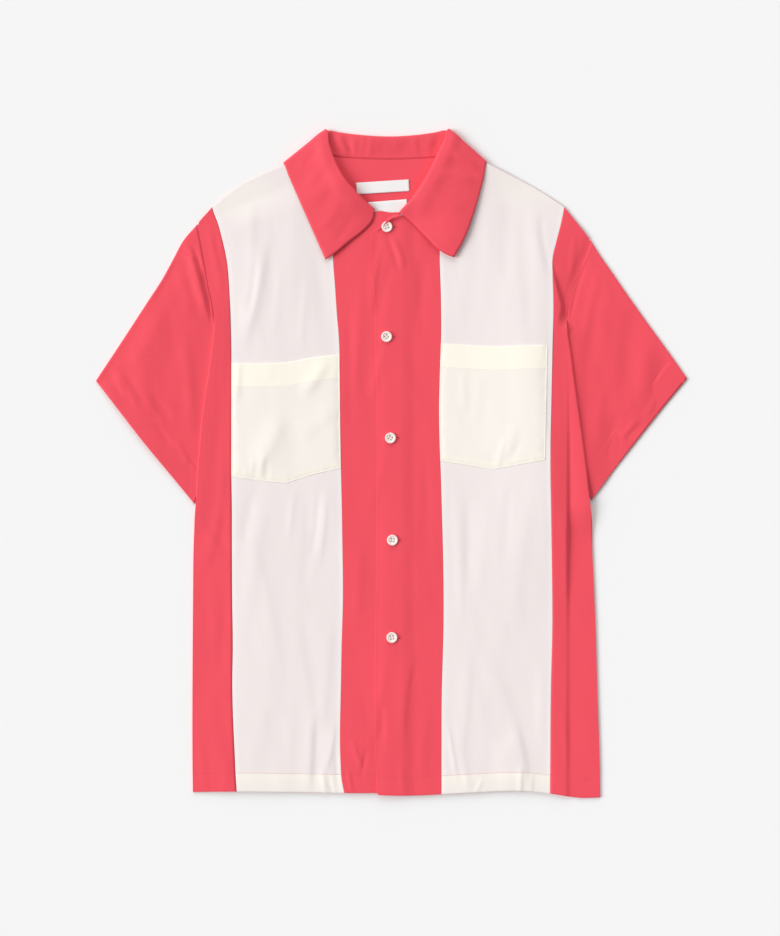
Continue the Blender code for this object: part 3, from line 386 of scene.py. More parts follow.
# Finer creases of the fronts, from the shoulder down: same columns, and lean, the share by
# which a crease is steeper on its right side than on its left
FRONT_CREASES = table(
    CREASE_COLUMNS,
    # right stripe above the pocket
    (-134, 262, -164, 112, 4, 8.5, 1.25, 0.25),
    (-150, 290, -152, 200, 0, 6.0, 0.40, 0),
    (-146, 232, -158, 150, 3, 4.0, -0.55, 0),
    (-100, 300, -108, 150, -4, 11, 0.40, 0),
    (-84, 240, -74, 134, 3, 7.0, -0.40, 0),
    (-120, 225, -130, 128, 2, 6.0, 0.40, 0),
    (-92, 210, -98, 118, 0, 4.0, 0.25, 0),
    # right pocket
    (-68, 116, -98, 70, 2, 7.0, 1.10, 0.15),
    (-58, 68, -100, 26, 3, 9.0, 0.45, 0.2),
    (-116, 60, -154, -14, 4, 11, 1.30, 0.2),
    (-136, 14, -143, -22, 0, 3.0, 0.55, 0.3),
    (-148, 8, -152, -20, 0, 2.4, 0.45, 0.3),
    (-134, 6, -134, -20, 0, 2.2, -0.40, 0),
    (-158, 0, -157, -16, 0, 2.0, 0.30, 0),
    (-165, 116, -166, 62, 0, 4.0, 0.70, 0.3),
    (-171, 96, -166, 30, 0, 3.0, 0.35, 0),
    (-130, 112, -134, 84, 0, 5.0, 0.25, 0),
    # right stripe under the pocket
    (-70, -22, -80, -120, 2, 4.0, 0.50, 0.3),
    (-78, -20, -88, -110, 2, 3.0, -0.45, 0),
    (-90, -20, -98, -150, 4, 6.0, -0.40, 0),
    (-104, -20, -112, -90, 0, 4.0, 0.35, 0),
    (-130, -20, -152, -180, -6, 9.0, 0.55, 0),
    (-146, -20, -160, -100, -2, 6.0, -0.50, 0),
    (-156, -60, -120, -250, 5, 9.0, 0.45, 0.3),
    (-110, -150, -84, -300, 3, 8.0, 0.45, 0.3),
    (-66, -150, -78, -300, 2, 7.0, 0.45, 0.2),
    (-79, -262, -84, -364, 0, 6.0, -1.30, -0.35),
    (-62, -276, -74, -340, 3, 4.0, 0.55, 0.3),
    (-75, -326, -70, -364, 0, 2.6, 0.60, 0.3),
    (-69, -334, -62, -364, 0, 2.2, -0.50, 0),
    (-60, -300, -58, -362, 0, 3.0, -0.40, 0),
    (-140, -250, -150, -345, 0, 12, 0.35, 0),
    (-112, -270, -106, -350, 0, 7.0, 0.30, 0),
    # right side strip
    (-178, 180, -186, 60, 0, 3.5, 0.40, 0),
    (-188, 110, -196, -20, 3, 4.0, -0.45, 0),
    (-182, 20, -192, -90, 3, 5.0, 0.50, 0.3),
    (-186, -40, -202, -120, 3, 7.0, 0.60, 0.4),
    (-207, -58, -174, -92, 0, 4.5, -0.65, 0),
    (-204, -70, -178, -104, 0, 4.0, 0.40, 0),
    (-196, -110, -190, -210, 2, 8.0, 0.50, 0),
    (-180, -130, -184, -240, 0, 5.0, -0.40, 0),
    (-200, -240, -182, -352, 2, 8.0, 0.45, 0),
    (-206, -300, -200, -360, 0, 3.0, 0.40, 0),
    (-178, -310, -180, -360, 0, 3.0, 0.35, 0),
    (-186, 250, -184, 170, 0, 4.0, 0.50, 0),
    (-200, 264, -188, 196, 2, 3.6, 0.50, 0),
    (-194, 250, -182, 200, 2, 3.0, -0.40, 0),
    # centre, from the top button down
    (-7, 249, 9, 205, 2, 3.0, -0.95, 0.3),
    (-1, 250, 15, 205, 2, 3.5, 0.70, 0.3),
    (-10, 242, -22, 152, -2, 4.0, 0.65, 0.3),
    (2, 228, -14, 150, -2, 5.0, -0.40, 0),
    (16, 240, 24, 150, 2, 7.0, 0.45, 0),
    (34, 236, 30, 130, 0, 6.0, -0.40, 0),
    (-8, 130, -24, 60, 0, 5.0, 0.45, 0),
    (8, 120, 32, 36, 3, 9.0, 0.40, 0),
    (-32, 214, -40, 60, 0, 6.0, 0.45, 0),
    (-46, 180, -44, 20, 0, 5.0, -0.40, 0),
    (-4, 20, -26, -60, 0, 7.0, 0.40, 0),
    (14, -30, 26, -170, 4, 9.0, 0.42, 0),
    (36, 20, 40, -120, 0, 6.0, -0.40, 0),
    (-34, -60, -40, -200, 2, 7.0, 0.42, 0),
    (26, -192, 12, -312, -4, 6.0, 0.65, 0.4),
    (-6, -200, -28, -330, 3, 7.0, 0.50, 0.3),
    (-12, -250, -9, -306, 0, 3.6, -0.55, 0),
    (-44, -296, -28, -336, 0, 3.2, 0.65, 0.3),
    (-26, -304, -33, -340, 0, 2.4, -0.55, 0),
    (-48, -326, -42, -358, 0, 2.2, 0.50, 0),
    (38, -250, 32, -350, 0, 7.0, 0.40, 0),
    (8, -320, 14, -358, 0, 4.0, 0.35, 0),
    # left stripe above and beside the pocket
    (82, 270, 72, 140, 3, 9.0, 0.40, 0),
    (108, 310, 100, 140, 0, 9.0, 0.35, 0),
    (126, 290, 122, 170, 0, 7.0, -0.35, 0),
    (150, 292, 170, 176, -4, 8.0, 0.60, 0),
    (160, 276, 172, 200, -2, 4.0, -0.45, 0),
    (140, 240, 150, 135, 2, 7.0, -0.35, 0),
    (168, 112, 164, 6, 0, 2.6, 0.35, 0),
    (77, 102, 80, 50, 0, 4.0, 0.40, 0.2),
    (96, 104, 92, 40, 0, 6.0, 0.35, 0),
    (134, 50, 118, 0, 3, 6.0, 0.42, 0.1),
    (140, 26, 124, -2, 0, 4.0, -0.30, 0),
    (122, 30, 114, -4, 0, 2.6, 0.45, 0),
    (104, 12, 112, -4, 0, 2.2, -0.30, 0),
    # left stripe under the pocket
    (68, -10, 74, -190, 3, 6.0, 0.40, 0),
    (84, -16, 82, -150, 0, 5.0, -0.35, 0),
    (104, -14, 94, -160, 0, 8.0, 0.35, 0),
    (128, -14, 120, -120, 0, 6.0, -0.38, 0),
    (152, -10, 132, -200, -4, 9.0, 0.45, 0),
    (84, -180, 70, -350, 3, 7.0, 0.45, 0.3),
    (104, -220, 134, -290, 4, 8.0, 0.45, 0.2),
    (128, -266, 147, -366, 3, 8.0, 1.30, 0.35),
    (140, -322, 139, -366, 0, 3.0, 0.70, 0.3),
    (152, -330, 150, -364, 0, 2.6, 0.45, 0.2),
    (60, -276, 72, -348, 0, 2.6, 0.50, 0.2),
    (76, -310, 84, -360, 0, 4.0, 0.45, 0),
    (100, -338, 88, -360, 0, 2.2, 0.40, 0),
    (162, -200, 160, -340, 0, 6.0, 0.35, 0),
    # left side strip
    (160, 300, 178, -190, 0, 58, 6.0, 0),
    (176, 120, 184, 0, 2, 4.0, 0.45, 0),
    (186, 20, 190, -70, 0, 5.0, -0.40, 0),
    (196, -40, 206, -160, 3, 7.0, 0.60, 0),
    (182, -90, 202, -205, 2, 5.5, 0.60, 0.3),
    (192, -130, 210, -240, 2, 5.0, -0.55, 0),
    (206, -200, 196, -330, 3, 7.0, 0.55, 0),
    (184, -260, 196, -352, 0, 4.0, 0.60, 0.3),
    (214, -290, 206, -360, 0, 4.5, -0.45, 0),
    (186, 225, 178, 165, 0, 5.0, 0.35, 0.3),
    (198, 254, 190, 190, 1, 3.5, 0.50, 0),
    (204, 236, 196, 180, 1, 2.6, -0.45, 0),
)
# Creases round the armholes and on the upper layer of the sleeves
SLEEVE_CREASES = table(
    CREASE_COLUMNS,
    (-220, 240, -197, 152, 1, 4.4, 2.6, 0.35),
    (-216, 240, -198, 178, 1, 2.0, -1.2, 0),
    (-204, 214, -191, 140, 0.5, 2.4, -1.8, 0),
    (-211, 240, -201, 196, 1, 2.2, 1.0, 0),
    (-226, 238, -212, 226, 0, 2.2, 0.60, 0),
    (-228, 230, -211, 216, 0, 2.2, 0.65, 0),
    (-229, 234, -214, 221, 0, 1.8, -0.50, 0),
    (-222, 215, -207, 176, 1, 3.4, 0.60, 0),
    (-232, 214, -216, 150, 3, 7.0, 0.80, 0),
    (-246, 190, -238, 90, 4, 9.0, -0.60, 0),
    (-226, 150, -216, 20, 3, 7.0, 0.90, 0),
    (-262, 150, -240, 60, 3, 9.0, -0.60, 0),
    (-284, 130, -262, 80, 3, 7.0, 0.45, 0),
    (-266, 110, -250, 30, 4, 8.0, -0.50, 0),
    (-300, 108, -266, 56, -3, 4.0, 0.55, 0),
    (-292, 112, -258, 52, -2, 3.4, -0.45, 0),
    (-270, 72, -240, 34, 2, 3.4, 0.70, 0.3),
    (-262, 76, -236, 44, 2, 3.0, -0.55, 0),
    (-286, 80, -272, 60, 0, 2.6, 0.50, 0),
    (-256, 44, -236, 18, 0, 3.0, -0.50, 0),
    (-236, 30, -218, -6, 2, 4.0, 0.60, 0),
    (-308, 100, -290, 70, 0, 3.4, -0.50, 0),
    (-300, 96, -284, 70, 0, 2.4, 0.40, 0),
    (214, 228, 192, 152, -3, 2.0, -0.9, 0),
    (226, 214, 206, 120, -2, 5.0, 0.60, 0),
    (214, 150, 212, 10, -4, 8.0, -0.70, 0),
    (236, 200, 224, 70, -4, 9.0, 0.60, 0),
    (262, 176, 254, 50, -4, 11, -1.10, 0),
    (282, 146, 274, 52, -4, 9.0, 0.90, 0),
    (300, 122, 286, 70, -2, 7.0, -0.60, 0),
    (232, 100, 224, 10, -3, 7.0, 0.60, 0),
    (248, 60, 236, 20, -2, 6.0, -0.50, 0),
    (268, 52, 244, 22, 0, 3.6, 0.60, 0),
    (274, 46, 252, 24, 0, 3.0, -0.50, 0),
    (294, 82, 272, 48, 0, 3.6, 0.55, 0),
    (302, 88, 284, 62, 0, 3.0, -0.45, 0),
    (250, 32, 230, 4, 0, 4.0, -0.50, 0),
)
# Creases of the over front alone: the rolled neckline and the edge that laps over
OVER_FRONT_CREASES = table(
    CREASE_COLUMNS,
    (-19, 250, 3, 268.0, -1.0, 2.0, 2.6, 0),
    (-9, 258, 17, 268.5, 2.0, 2.2, 2.8, 0),
    (-17.0, 480, -16.6, -600, 0, 7.0, -0.75, 0),
)
# Creases of the collar's leaves, and of the back's underside, which are pressed flat
COLLAR_CREASES = table(
    CREASE_COLUMNS,
    (62, 338, 98, 316, 0, 3.0, 1.40, 0.3),
    (56, 328, 96, 308, 2, 3.2, -1.10, 0),
    (46, 316, 94, 302, 2, 3.0, 1.20, 0.3),
    (42, 302, 86, 284, 2, 4.0, -0.80, 0),
    (40, 292, 80, 268, 0, 5.0, 0.55, 0),
    (34, 274, 68, 244, 0, 5.0, -0.40, 0),
    (50, 262, 68, 232, 0, 4.0, 0.45, 0),
    (-72, 346, -98, 318, 0, 4.0, -0.60, 0),
    (-66, 330, -94, 296, 0, 5.0, 0.50, 0),
    (-58, 306, -84, 268, 2, 6.0, -0.45, 0),
    (-50, 290, -80, 248, 2, 6.0, 0.50, 0),
    (-38, 272, -64, 232, 0, 4.0, -0.45, 0),
)
STAND_CREASES = table(
    CREASE_COLUMNS,
    (-61, 364, -44, 326, 0, 3.2, 1.50, 0.5),
    (-52, 362, -41, 328, 0, 1.8, -0.90, 0),
    (-40, 360, -39, 330, 0, 1.8, 0.70, 0.3),
    (-29, 358, -33, 332, 0, 1.6, 0.45, 0.3),
    (-19, 358, -24, 326, 0, 2.2, 0.85, 0.5),
    (-9, 350, -11, 330, 0, 3.4, -0.35, 0),
    (6, 358, 3, 334, 0, 1.6, 0.40, 0.3),
    (16, 350, 11, 330, 0, 3.0, -0.40, 0),
    (24, 360, 29, 328, 0, 2.0, 0.70, 0.5),
    (33, 360, 37, 336, 0, 1.6, 0.45, 0),
    (44, 362, 40, 330, 0, 2.6, 0.90, 0.5),
    (52, 358, 47, 334, 0, 2.0, -0.50, 0),
)
UNDERSIDE_CREASES = table(
    CREASE_COLUMNS,
    (-140, 220, -160, 60, 4, 6.0, 0.35, 0),
    (-60, 250, -84, 80, 3, 7.0, 0.30, 0),
    (-120, 20, -96, -160, 5, 8.0, 0.35, 0),
    (-170, -60, -150, -200, 0, 6.0, 0.30, 0),
    (-80, -210, -92, -350, 2, 5.0, 0.40, 0),
    (10, 240, -14, 90, 4, 8.0, 0.28, 0),
    (20, 40, 34, -130, 3, 9.0, 0.35, 0),
    (-10, -140, 16, -330, 4, 7.0, 0.32, 0),
    (90, 230, 76, 60, 3, 8.0, 0.30, 0),
    (150, 150, 138, -20, 0, 6.0, 0.35, 0),
    (110, -60, 132, -220, 5, 8.0, 0.32, 0),
    (180, -120, 196, -280, 3, 7.0, 0.34, 0),
    (100, -260, 112, -352, 0, 5.0, 0.40, 0),
)


# Each half's seams, and the side of the middle that it is on
HALVES = dict(right=(RIGHT_SEAMS, -1), left=(LEFT_SEAMS, 1))


# ---------------------------------------------------------------- shapes from the tables


def grid_step():
    """Spacing of a grid's points, in millimetres."""
    return bpy.context.scene.shirt_cloth.grid_step / MM


def smooth(t):
    """0 below 0, 1 above 1, and an S curve between."""
    t = np.clip(t, 0.0, 1.0)
    return t * t * (3 - 2 * t)


def along(keys, values, at):
    """Smooth curve through values at keys, read at at and held beyond the ends."""
    slope = np.gradient(values, keys)
    i = np.clip(np.searchsorted(keys, at) - 1, 0, len(keys) - 2)
    step = keys[i + 1] - keys[i]
    t = np.clip((at - keys[i]) / step, 0.0, 1.0)
    ease = t * t * (3 - 2 * t)
    start = slope[i] * step * t * (1 - t) ** 2
    end = slope[i + 1] * step * t * t * (1 - t)
    return values[i] * (1 - ease) + values[i + 1] * ease + start - end


def seam(seams, column, y):
    """X of a seam at a height, or the depth of the side edge's tuck there."""
    return along(seams["y"], seams[column], np.asarray(y, float))


def hem_level(x):
    """Y of the bottom edge at a place across the body."""
    return along(HEM["x"], HEM["y"], x)


def path(points, stations):
    """XY points spread along a table's smooth line, by share of its length."""
    steps = np.hypot(np.diff(points["x"]), np.diff(points["y"]))
    length = np.concatenate([[0], np.cumsum(steps)]) / steps.sum()
    at = np.asarray(stations, float)
    return np.stack([along(length, points["x"], at), along(length, points["y"], at)], -1)


def resampled(rows, count):
    """A table read at more places, on the smooth curve through its rows."""
    keys = next(iter(rows.values()))
    at = np.linspace(keys[0], keys[-1], count)
    return {name: along(keys, column, at) for name, column in rows.items()}


def reversed_table(rows):
    return {name: column[::-1] for name, column in rows.items()}


def joined(*tables):
    return {name: np.concatenate([t[name] for t in tables]) for name in tables[0]}


def closer(rows, step):
    """A top table with straight fill-ins, so that no two points are further apart than step."""
    keys = rows["across"]
    run = np.hypot(np.diff(rows["x"]), np.diff(rows["y"]))
    at = [keys[:1]]
    for a, b, length in zip(keys, keys[1:], run):
        count = max(1, math.ceil(length / step))
        at.append(a + (b - a) * np.arange(1, count + 1) / count)
    at = np.concatenate(at)
    return {name: np.interp(at, keys, column) for name, column in rows.items()}


def crease_height(rows, x, y):
    """Sum of a table's creases at a place."""
    total = np.zeros(np.broadcast(x, y).shape)
    lean_of = rows.get("lean", np.zeros(len(rows["x0"])))
    for x0, y0, x1, y1, bow, width, height, lean in zip(
        *(rows[name] for name in FOLD_COLUMNS.split()), lean_of
    ):
        length = math.hypot(x1 - x0, y1 - y0)
        ux, uy = (x1 - x0) / length, (y1 - y0) / length
        share = ((x - x0) * ux + (y - y0) * uy) / length
        aside = (x - x0) * -uy + (y - y0) * ux - bow * np.sin(math.pi * np.clip(share, 0, 1))
        taper = smooth(share / 0.35) * smooth((1 - share) / 0.35)
        spread = width * np.where(aside > 0, 1 - lean, 1 + lean)
        total += height * taper * np.exp(-((aside / spread) ** 2))
    return total


NOISE_CELLS = 96


def hills(x, y, wide, long, seed):
    """Smooth unevenness from -1 to 1, in hills of one size across and another along."""
    heights = np.random.default_rng(seed).uniform(-1, 1, (NOISE_CELLS, NOISE_CELLS))
    u, v = (x + 0.14 * y) / wide, (y - 0.05 * x) / long
    i, j = np.floor(u).astype(int), np.floor(v).astype(int)
    s, t = u - i, v - j
    s, t = s**3 * (s * (6 * s - 15) + 10), t**3 * (t * (6 * t - 15) + 10)
    corners = [
        heights[(i + a) % NOISE_CELLS, (j + b) % NOISE_CELLS] for a in (0, 1) for b in (0, 1)
    ]
    low = corners[0] * (1 - t) + corners[1] * t
    high = corners[2] * (1 - t) + corners[3] * t
    return low * (1 - s) + high * s


def drape(x, y):
    """The slow unevenness of limp cloth, longer down the cloth than across it."""
    broad = hills(x, y, 36.0, 92.0, 3)
    narrow = hills(x, y, 15.0, 46.0, 4)
    fine = hills(x, y, 6.5, 21.0, 5)
    return 0.42 * broad + 0.16 * narrow + 0.045 * fine


def back_fall_edge(x):
    """Lower edge of the collar's back fall, which lies under the back panel."""
    aside = (x - BACK_FALL_MIDDLE_X) / BACK_FALL_HALF_WIDTH
    return BACK_FALL_MIDDLE_Y + BACK_FALL_RISE * aside**2


def neck_lift(x, y):
    """How far the collar's back fall lifts what lies on it."""
    return NECK_LIFT * smooth((y - back_fall_edge(x)) / NECK_LIFT_REACH + 1)


def shoulder_distance(x, y):
    """Rough distance in from the shoulder line."""
    return SHOULDER_PEAK_Y - SHOULDER_SLOPE * np.abs(x - SHOULDER_PEAK_X) - y


def near_neck_point(x, y):
    """1 where the shoulder seams meet the collar, fading to 0 around it."""
    aside = np.abs(x - NECK_POINT_MIDDLE) - NECK_POINT_APART
    return np.exp(-((aside / NECK_BULK_REACH) ** 2) - ((y - NECK_POINT_Y) / NECK_BULK_REACH) ** 2)


def back_mid(x, y):
    """Middle of the back panel's wall."""
    return 0.5 * WALL + neck_lift(x, y)


def from_side(x, y):
    """Distance in from the nearer side edge of the body."""
    return np.minimum(x - seam(RIGHT_SEAMS, "edge", y), seam(LEFT_SEAMS, "edge", y) - x)


def front_mid(x, y):
    """Middle of a front's wall: on the back panel at the edges, raised inside them."""
    puff = smooth(from_side(x, y) / LOFT_REACH)
    puff = puff * smooth(shoulder_distance(x, y) / SHOULDER_EASE)
    raised = np.maximum(FRONT_LOFT + crease_height(FOLDS, x, y), 0.1)
    return back_mid(x, y) + STACK + puff * raised + NECK_BULK * near_neck_point(x, y) + EASE


def top_front_mid(x, y):
    """The same for the left front, whose centre strip laps over the right one's edge."""
    return front_mid(x, y) + STACK * (1 - smooth((x - UNDER_FRONT_EDGE - 1) / PLACKET_EASE))


def side_ease(x, y):
    """0 at the body's side edges, 1 well inside them."""
    return smooth(from_side(x, y) / 10)


def front_creases(x, y):
    """What the fine creases and the drape add to the fronts and to all that lies on them."""
    inside = side_ease(x, y) * smooth(shoulder_distance(x, y) / 14)
    depth = bpy.context.scene.shirt_cloth.crease_depth
    return inside * depth * (crease_height(FRONT_CREASES, x, y) + drape(x, y))


# ---------------------------------------------------------------- closed shells from grids


def grid_normals(grid, section_rows=False):
    """Unit normals of a grid of points; with section_rows they stay in each row's own plane."""
    across = np.gradient(grid, axis=1)
    up = np.gradient(grid, axis=0)
    if section_rows:
        up = np.broadcast_to(up.mean(axis=1, keepdims=True) * (1, 1, 0), grid.shape)
    normal = np.cross(across, up)
    return normal / np.linalg.norm(normal, axis=-1, keepdims=True)


def run_along(grid, axis):
    """Distance run along a grid's rows or columns, from their first point."""
    steps = np.linalg.norm(np.diff(grid, axis=axis), axis=-1)
    pad = [(0, 0), (0, 0)]
    pad[axis] = (1, 0)
    return np.pad(np.cumsum(steps, axis=axis), pad)


def plan_at(distance, run, line):
    """X and Y of the place on a line of points that is a distance along its run."""
    return [np.interp(distance, run, line[:, k]) for k in range(2)]


def edge_distance(grid, sewn=None):
    """Distance of each point of a grid from its nearest raw edge, so not from a sewn end axis."""
    nearest = np.full(grid.shape[:2], np.inf)
    for axis in (0, 1):
        run = run_along(grid, axis)
        whole = run[-1:] if axis == 0 else run[:, -1:]
        nearest = np.minimum(nearest, run)
        if axis != sewn:
            nearest = np.minimum(nearest, whole - run)
    return nearest


def rounding(thickness, distance):
    """How far each face of a wall draws in near a raw edge, so that the edge is round."""
    radius = 0.5 * thickness
    left = 1 - np.clip(distance / radius, 0.0, 1.0)
    return EDGE_ROUND * radius * (1 - np.sqrt(1 - left**2))


def shell(over, thickness, section_rows=False, sewn=None):
    """Lower and upper points of a cloth of a thickness whose upper face is a grid."""
    normal = grid_normals(over, section_rows)
    thickness = np.broadcast_to(thickness, over.shape[:2])
    draw = rounding(thickness, edge_distance(over, sewn))
    upper = over - normal * draw[..., None]
    under = over - normal * (thickness - draw)[..., None]
    under[..., 2] = np.maximum(under[..., 2], 0.0)
    upper[..., 2] = np.maximum(upper[..., 2], under[..., 2] + 0.02)
    return under, upper


def oriented(grid, sign):
    """Columns run towards +X, so that the normals of a grid point up."""
    return grid[:, ::-1] if sign < 0 else grid


def build_cloth(name, walls, weave, sewn=None, wraps=False):
    """A closed mesh between a lower and an upper grid, with its weave and sewing coordinates.

    weave gives each point's place in the cloth, across and along the warp, and sewn gives up
    to three distances that the finish reads, such as from a seam or a hem.
    """
    under, upper = walls
    rows, columns = under.shape[:2]
    count = rows * columns
    points = np.concatenate([upper.reshape(-1, 3), under.reshape(-1, 3)]) * MM
    index = np.arange(count).reshape(rows, columns)
    after = np.roll(index, -1, axis=1)
    spans = slice(None) if wraps else slice(0, columns - 1)
    a, b = index[:-1, spans], after[:-1, spans]
    c, d = after[1:, spans], index[1:, spans]
    faces = [np.stack([a, b, c, d], -1), np.stack([d, c, b, a], -1) + count]
    low, high = index[0], index[-1]
    low_next, high_next = after[0], after[-1]
    faces.append(np.stack([low + count, low_next + count, low_next, low], -1)[spans])
    faces.append(np.stack([high, high_next, high_next + count, high + count], -1)[spans])
    if not wraps:
        first, last = index[:, 0], index[:, -1]
        faces.append(np.stack([first[:-1], first[1:], first[1:] + count, first[:-1] + count], -1))
        faces.append(np.stack([last[:-1] + count, last[1:] + count, last[1:], last[:-1]], -1))
    faces = np.concatenate([f.reshape(-1, 4) for f in faces])
    mesh = bpy.data.meshes.new(name)
    mesh.from_pydata(points.tolist(), [], faces.tolist())
    mesh.shade_smooth()
    corner_vertex = np.empty(len(mesh.loops), np.int32)
    mesh.loops.foreach_get("vertex_index", corner_vertex)
    uv = np.tile(weave.reshape(-1, 2), (2, 1)) * MM
    mesh.uv_layers.new(name="weave").data.foreach_set("uv", uv[corner_vertex].ravel())
    if sewn is not None:
        values = np.tile(sewn.reshape(-1, 3), (2, 1)) * MM
        held = mesh.attributes.new("sewn", "FLOAT_VECTOR", "POINT")
        held.data.foreach_set("vector", values.astype(np.float32).ravel())
    return put(name, mesh)


def put(name, mesh):
    """Adds a mesh to the scene as an object at the origin."""
    made = bpy.data.objects.new(name, mesh)
    bpy.context.scene.collection.objects.link(made)
    return made


def finish_piece(piece, material, nodes=()):
    """Gives a piece its material and slot, sets it on the body and hides what it stands for."""
    piece.data.materials.clear()
    piece.data.materials.append(material)
    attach(piece, "root")
    if nodes:
        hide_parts(*nodes)


def flat_weave(grid):
    """Weave coordinates of a panel whose warp runs down the body."""
    return grid[..., :2].copy()


def run_weave(grid):
    """Weave coordinates that follow a grid: across its rows and along its columns."""
    return np.stack([run_along(grid, 1), run_along(grid, 0)], -1)


# ---------------------------------------------------------------- grids of the cut pieces


def body_levels():
    """Heights of the straight rows of a panel."""
    count = math.ceil((BREAK_LEVEL - FOOT_LEVEL) / grid_step())
    return np.linspace(FOOT_LEVEL, BREAK_LEVEL, count + 1)


def panel_grid(first, last, top, height):
    """Points of a flat panel between two edges, each a function giving X at a Y.

    top is a table of how far across each column runs and the point where it ends.
    """
    across = top["across"][None, :]

    def x_at(y):
        return first(y) + across * (last(y) - first(y))

    share = np.linspace(0, 1, HEM_ROWS)[:-1]
    share = np.insert(share, 1, NEAR_EDGE / (FOOT_LEVEL - HEM_FOOT))[:, None]
    foot = HEM_FOOT + share * (FOOT_LEVEL - HEM_FOOT)
    hem_x = x_at(np.broadcast_to(foot, (len(share), across.size)))
    hem_y = hem_level(hem_x)
    hem_y = hem_y + share * (FOOT_LEVEL - hem_y)
    level_y = np.broadcast_to(body_levels()[:, None], (len(body_levels()), across.size))
    step = np.linspace(0, 1, TOP_ROWS + 1)[1:]
    step = np.insert(step, -1, 1 - NEAR_EDGE[::-1] / TOP_RUN)[:, None]
    top_y = BREAK_LEVEL + step * (top["y"][None, :] - BREAK_LEVEL)
    top_x = x_at(top_y)
    top_x = top_x + step * (top["x"][None, :] - top_x[-1:])
    x = np.concatenate([hem_x, x_at(level_y), top_x])
    y = np.concatenate([hem_y, level_y, top_y])
    return np.stack([x, y, height(x, y)], -1)


def with_edge_columns(top, width):
    """A top table with two more columns close to each end, where the edge is rounded."""
    keys = top["across"]
    near = NEAR_EDGE / width
    at = np.concatenate([keys[:1], keys[0] + near, keys[1:-1], keys[-1] - near[::-1], keys[-1:]])
    at = np.unique(np.round(at, 6))
    return {name: np.interp(at, keys, column) for name, column in top.items()}


def collar_rows(rows, count):
    """The collar table's rows as a smooth run of stations."""
    keys = np.arange(len(rows["roll"]), dtype=float)
    at = np.linspace(0, keys[-1], count)
    return {name: along(keys, column, at) for name, column in rows.items()}


def neck_points(rows, count, stations, across):
    """Points along a collar table's neck seam, a seam gap out from it, as a top table."""
    run = collar_rows(rows, count)
    xy = np.stack([run["seam_x"], run["seam_y"]], -1)
    tangent = np.gradient(xy, axis=0)
    tangent /= np.linalg.norm(tangent, axis=1, keepdims=True)
    to_roll = np.stack([run["roll_x"] - run["seam_x"], run["roll_y"] - run["seam_y"]], -1)
    outward = np.stack([tangent[:, 1], -tangent[:, 0]], -1)
    outward *= -np.sign((outward * to_roll).sum(1, keepdims=True))
    points = (xy + outward * NECK_GAP)[stations]
    share = np.linspace(across[0], across[1], len(points))
    return dict(across=share, x=points[:, 0], y=points[:, 1])


def edge_at(seams, column, shift):
    """A panel's edge along a seam, moved sideways by a shift."""
    return lambda y: seam(seams, column, y) + shift


def front_grids():
    """Grids of the upper faces of the four panels at the front's middle."""
    middle = (COLLAR_STATIONS - 1) // 2
    near_stripe = slice(COLLAR_STATIONS - 1 - COLLAR_NEXT_STATION, middle - 1, -1)
    near_opening = slice(middle, None, -1)

    def stripe_top(collar, shoulder):
        neck = neck_points(collar, COLLAR_STATIONS, near_stripe, (0.225, 0))
        return joined(reversed_table(neck), resampled(shoulder, FRONT_SHOULDER_POINTS))

    under_top = joined(
        neck_points(RIGHT_COLLAR, COLLAR_STATIONS, near_opening, (0, 0.6)), UNDER_FRONT_TOP
    )
    over_top = joined(
        TOP_FRONT_TOP,
        reversed_table(neck_points(LEFT_COLLAR, COLLAR_STATIONS, near_opening, (1, 0.48))),
    )
    inset = 0.5 * SEAM_GAP - SEAM_CLOSE
    spans = dict(
        front_right_stripe=(
            edge_at(RIGHT_SEAMS, "inner", -inset), edge_at(RIGHT_SEAMS, "outer", inset),
            stripe_top(RIGHT_COLLAR, RIGHT_SHOULDER), front_mid,
        ),
        front_left_stripe=(
            edge_at(LEFT_SEAMS, "inner", inset), edge_at(LEFT_SEAMS, "outer", -inset),
            stripe_top(LEFT_COLLAR, LEFT_SHOULDER), top_front_mid,
        ),
        front_right_centre=(
            edge_at(RIGHT_SEAMS, "inner", inset),
            lambda y: np.full(np.shape(y), UNDER_FRONT_EDGE),
            under_top, front_mid,
        ),
        front_left_centre=(
            lambda y: along(PLACKET["y"], PLACKET["x"], y), edge_at(LEFT_SEAMS, "inner", -inset),
            over_top, top_front_mid, OVER_FRONT_CREASES,
        ),
    )
    grids = {}
    for name, (first, last, top, *face) in spans.items():
        width = abs(float(last(np.array([0.0]))[0] - first(np.array([0.0]))[0]))
        top = with_edge_columns(closer(top, grid_step()), width)
        grids[name] = panel_grid(first, last, top, upper_face(*face))
    return grids


def upper_face(mid, own_creases=None):
    """Height of a front panel's upper face, from its wall's middle and the creases."""

    def height(x, y):
        least = back_mid(x, y) + STACK + EASE
        hem = smooth(1 - (y - hem_level(x)) / HEM_STANDS_REACH)
        creased = mid(x, y) + front_creases(x, y) + HEM_STANDS * hem * side_ease(x, y)
        if own_creases:
            creased = creased + crease_height(own_creases, x, y)
        return np.maximum(creased, least) + 0.5 * WALL

    return height


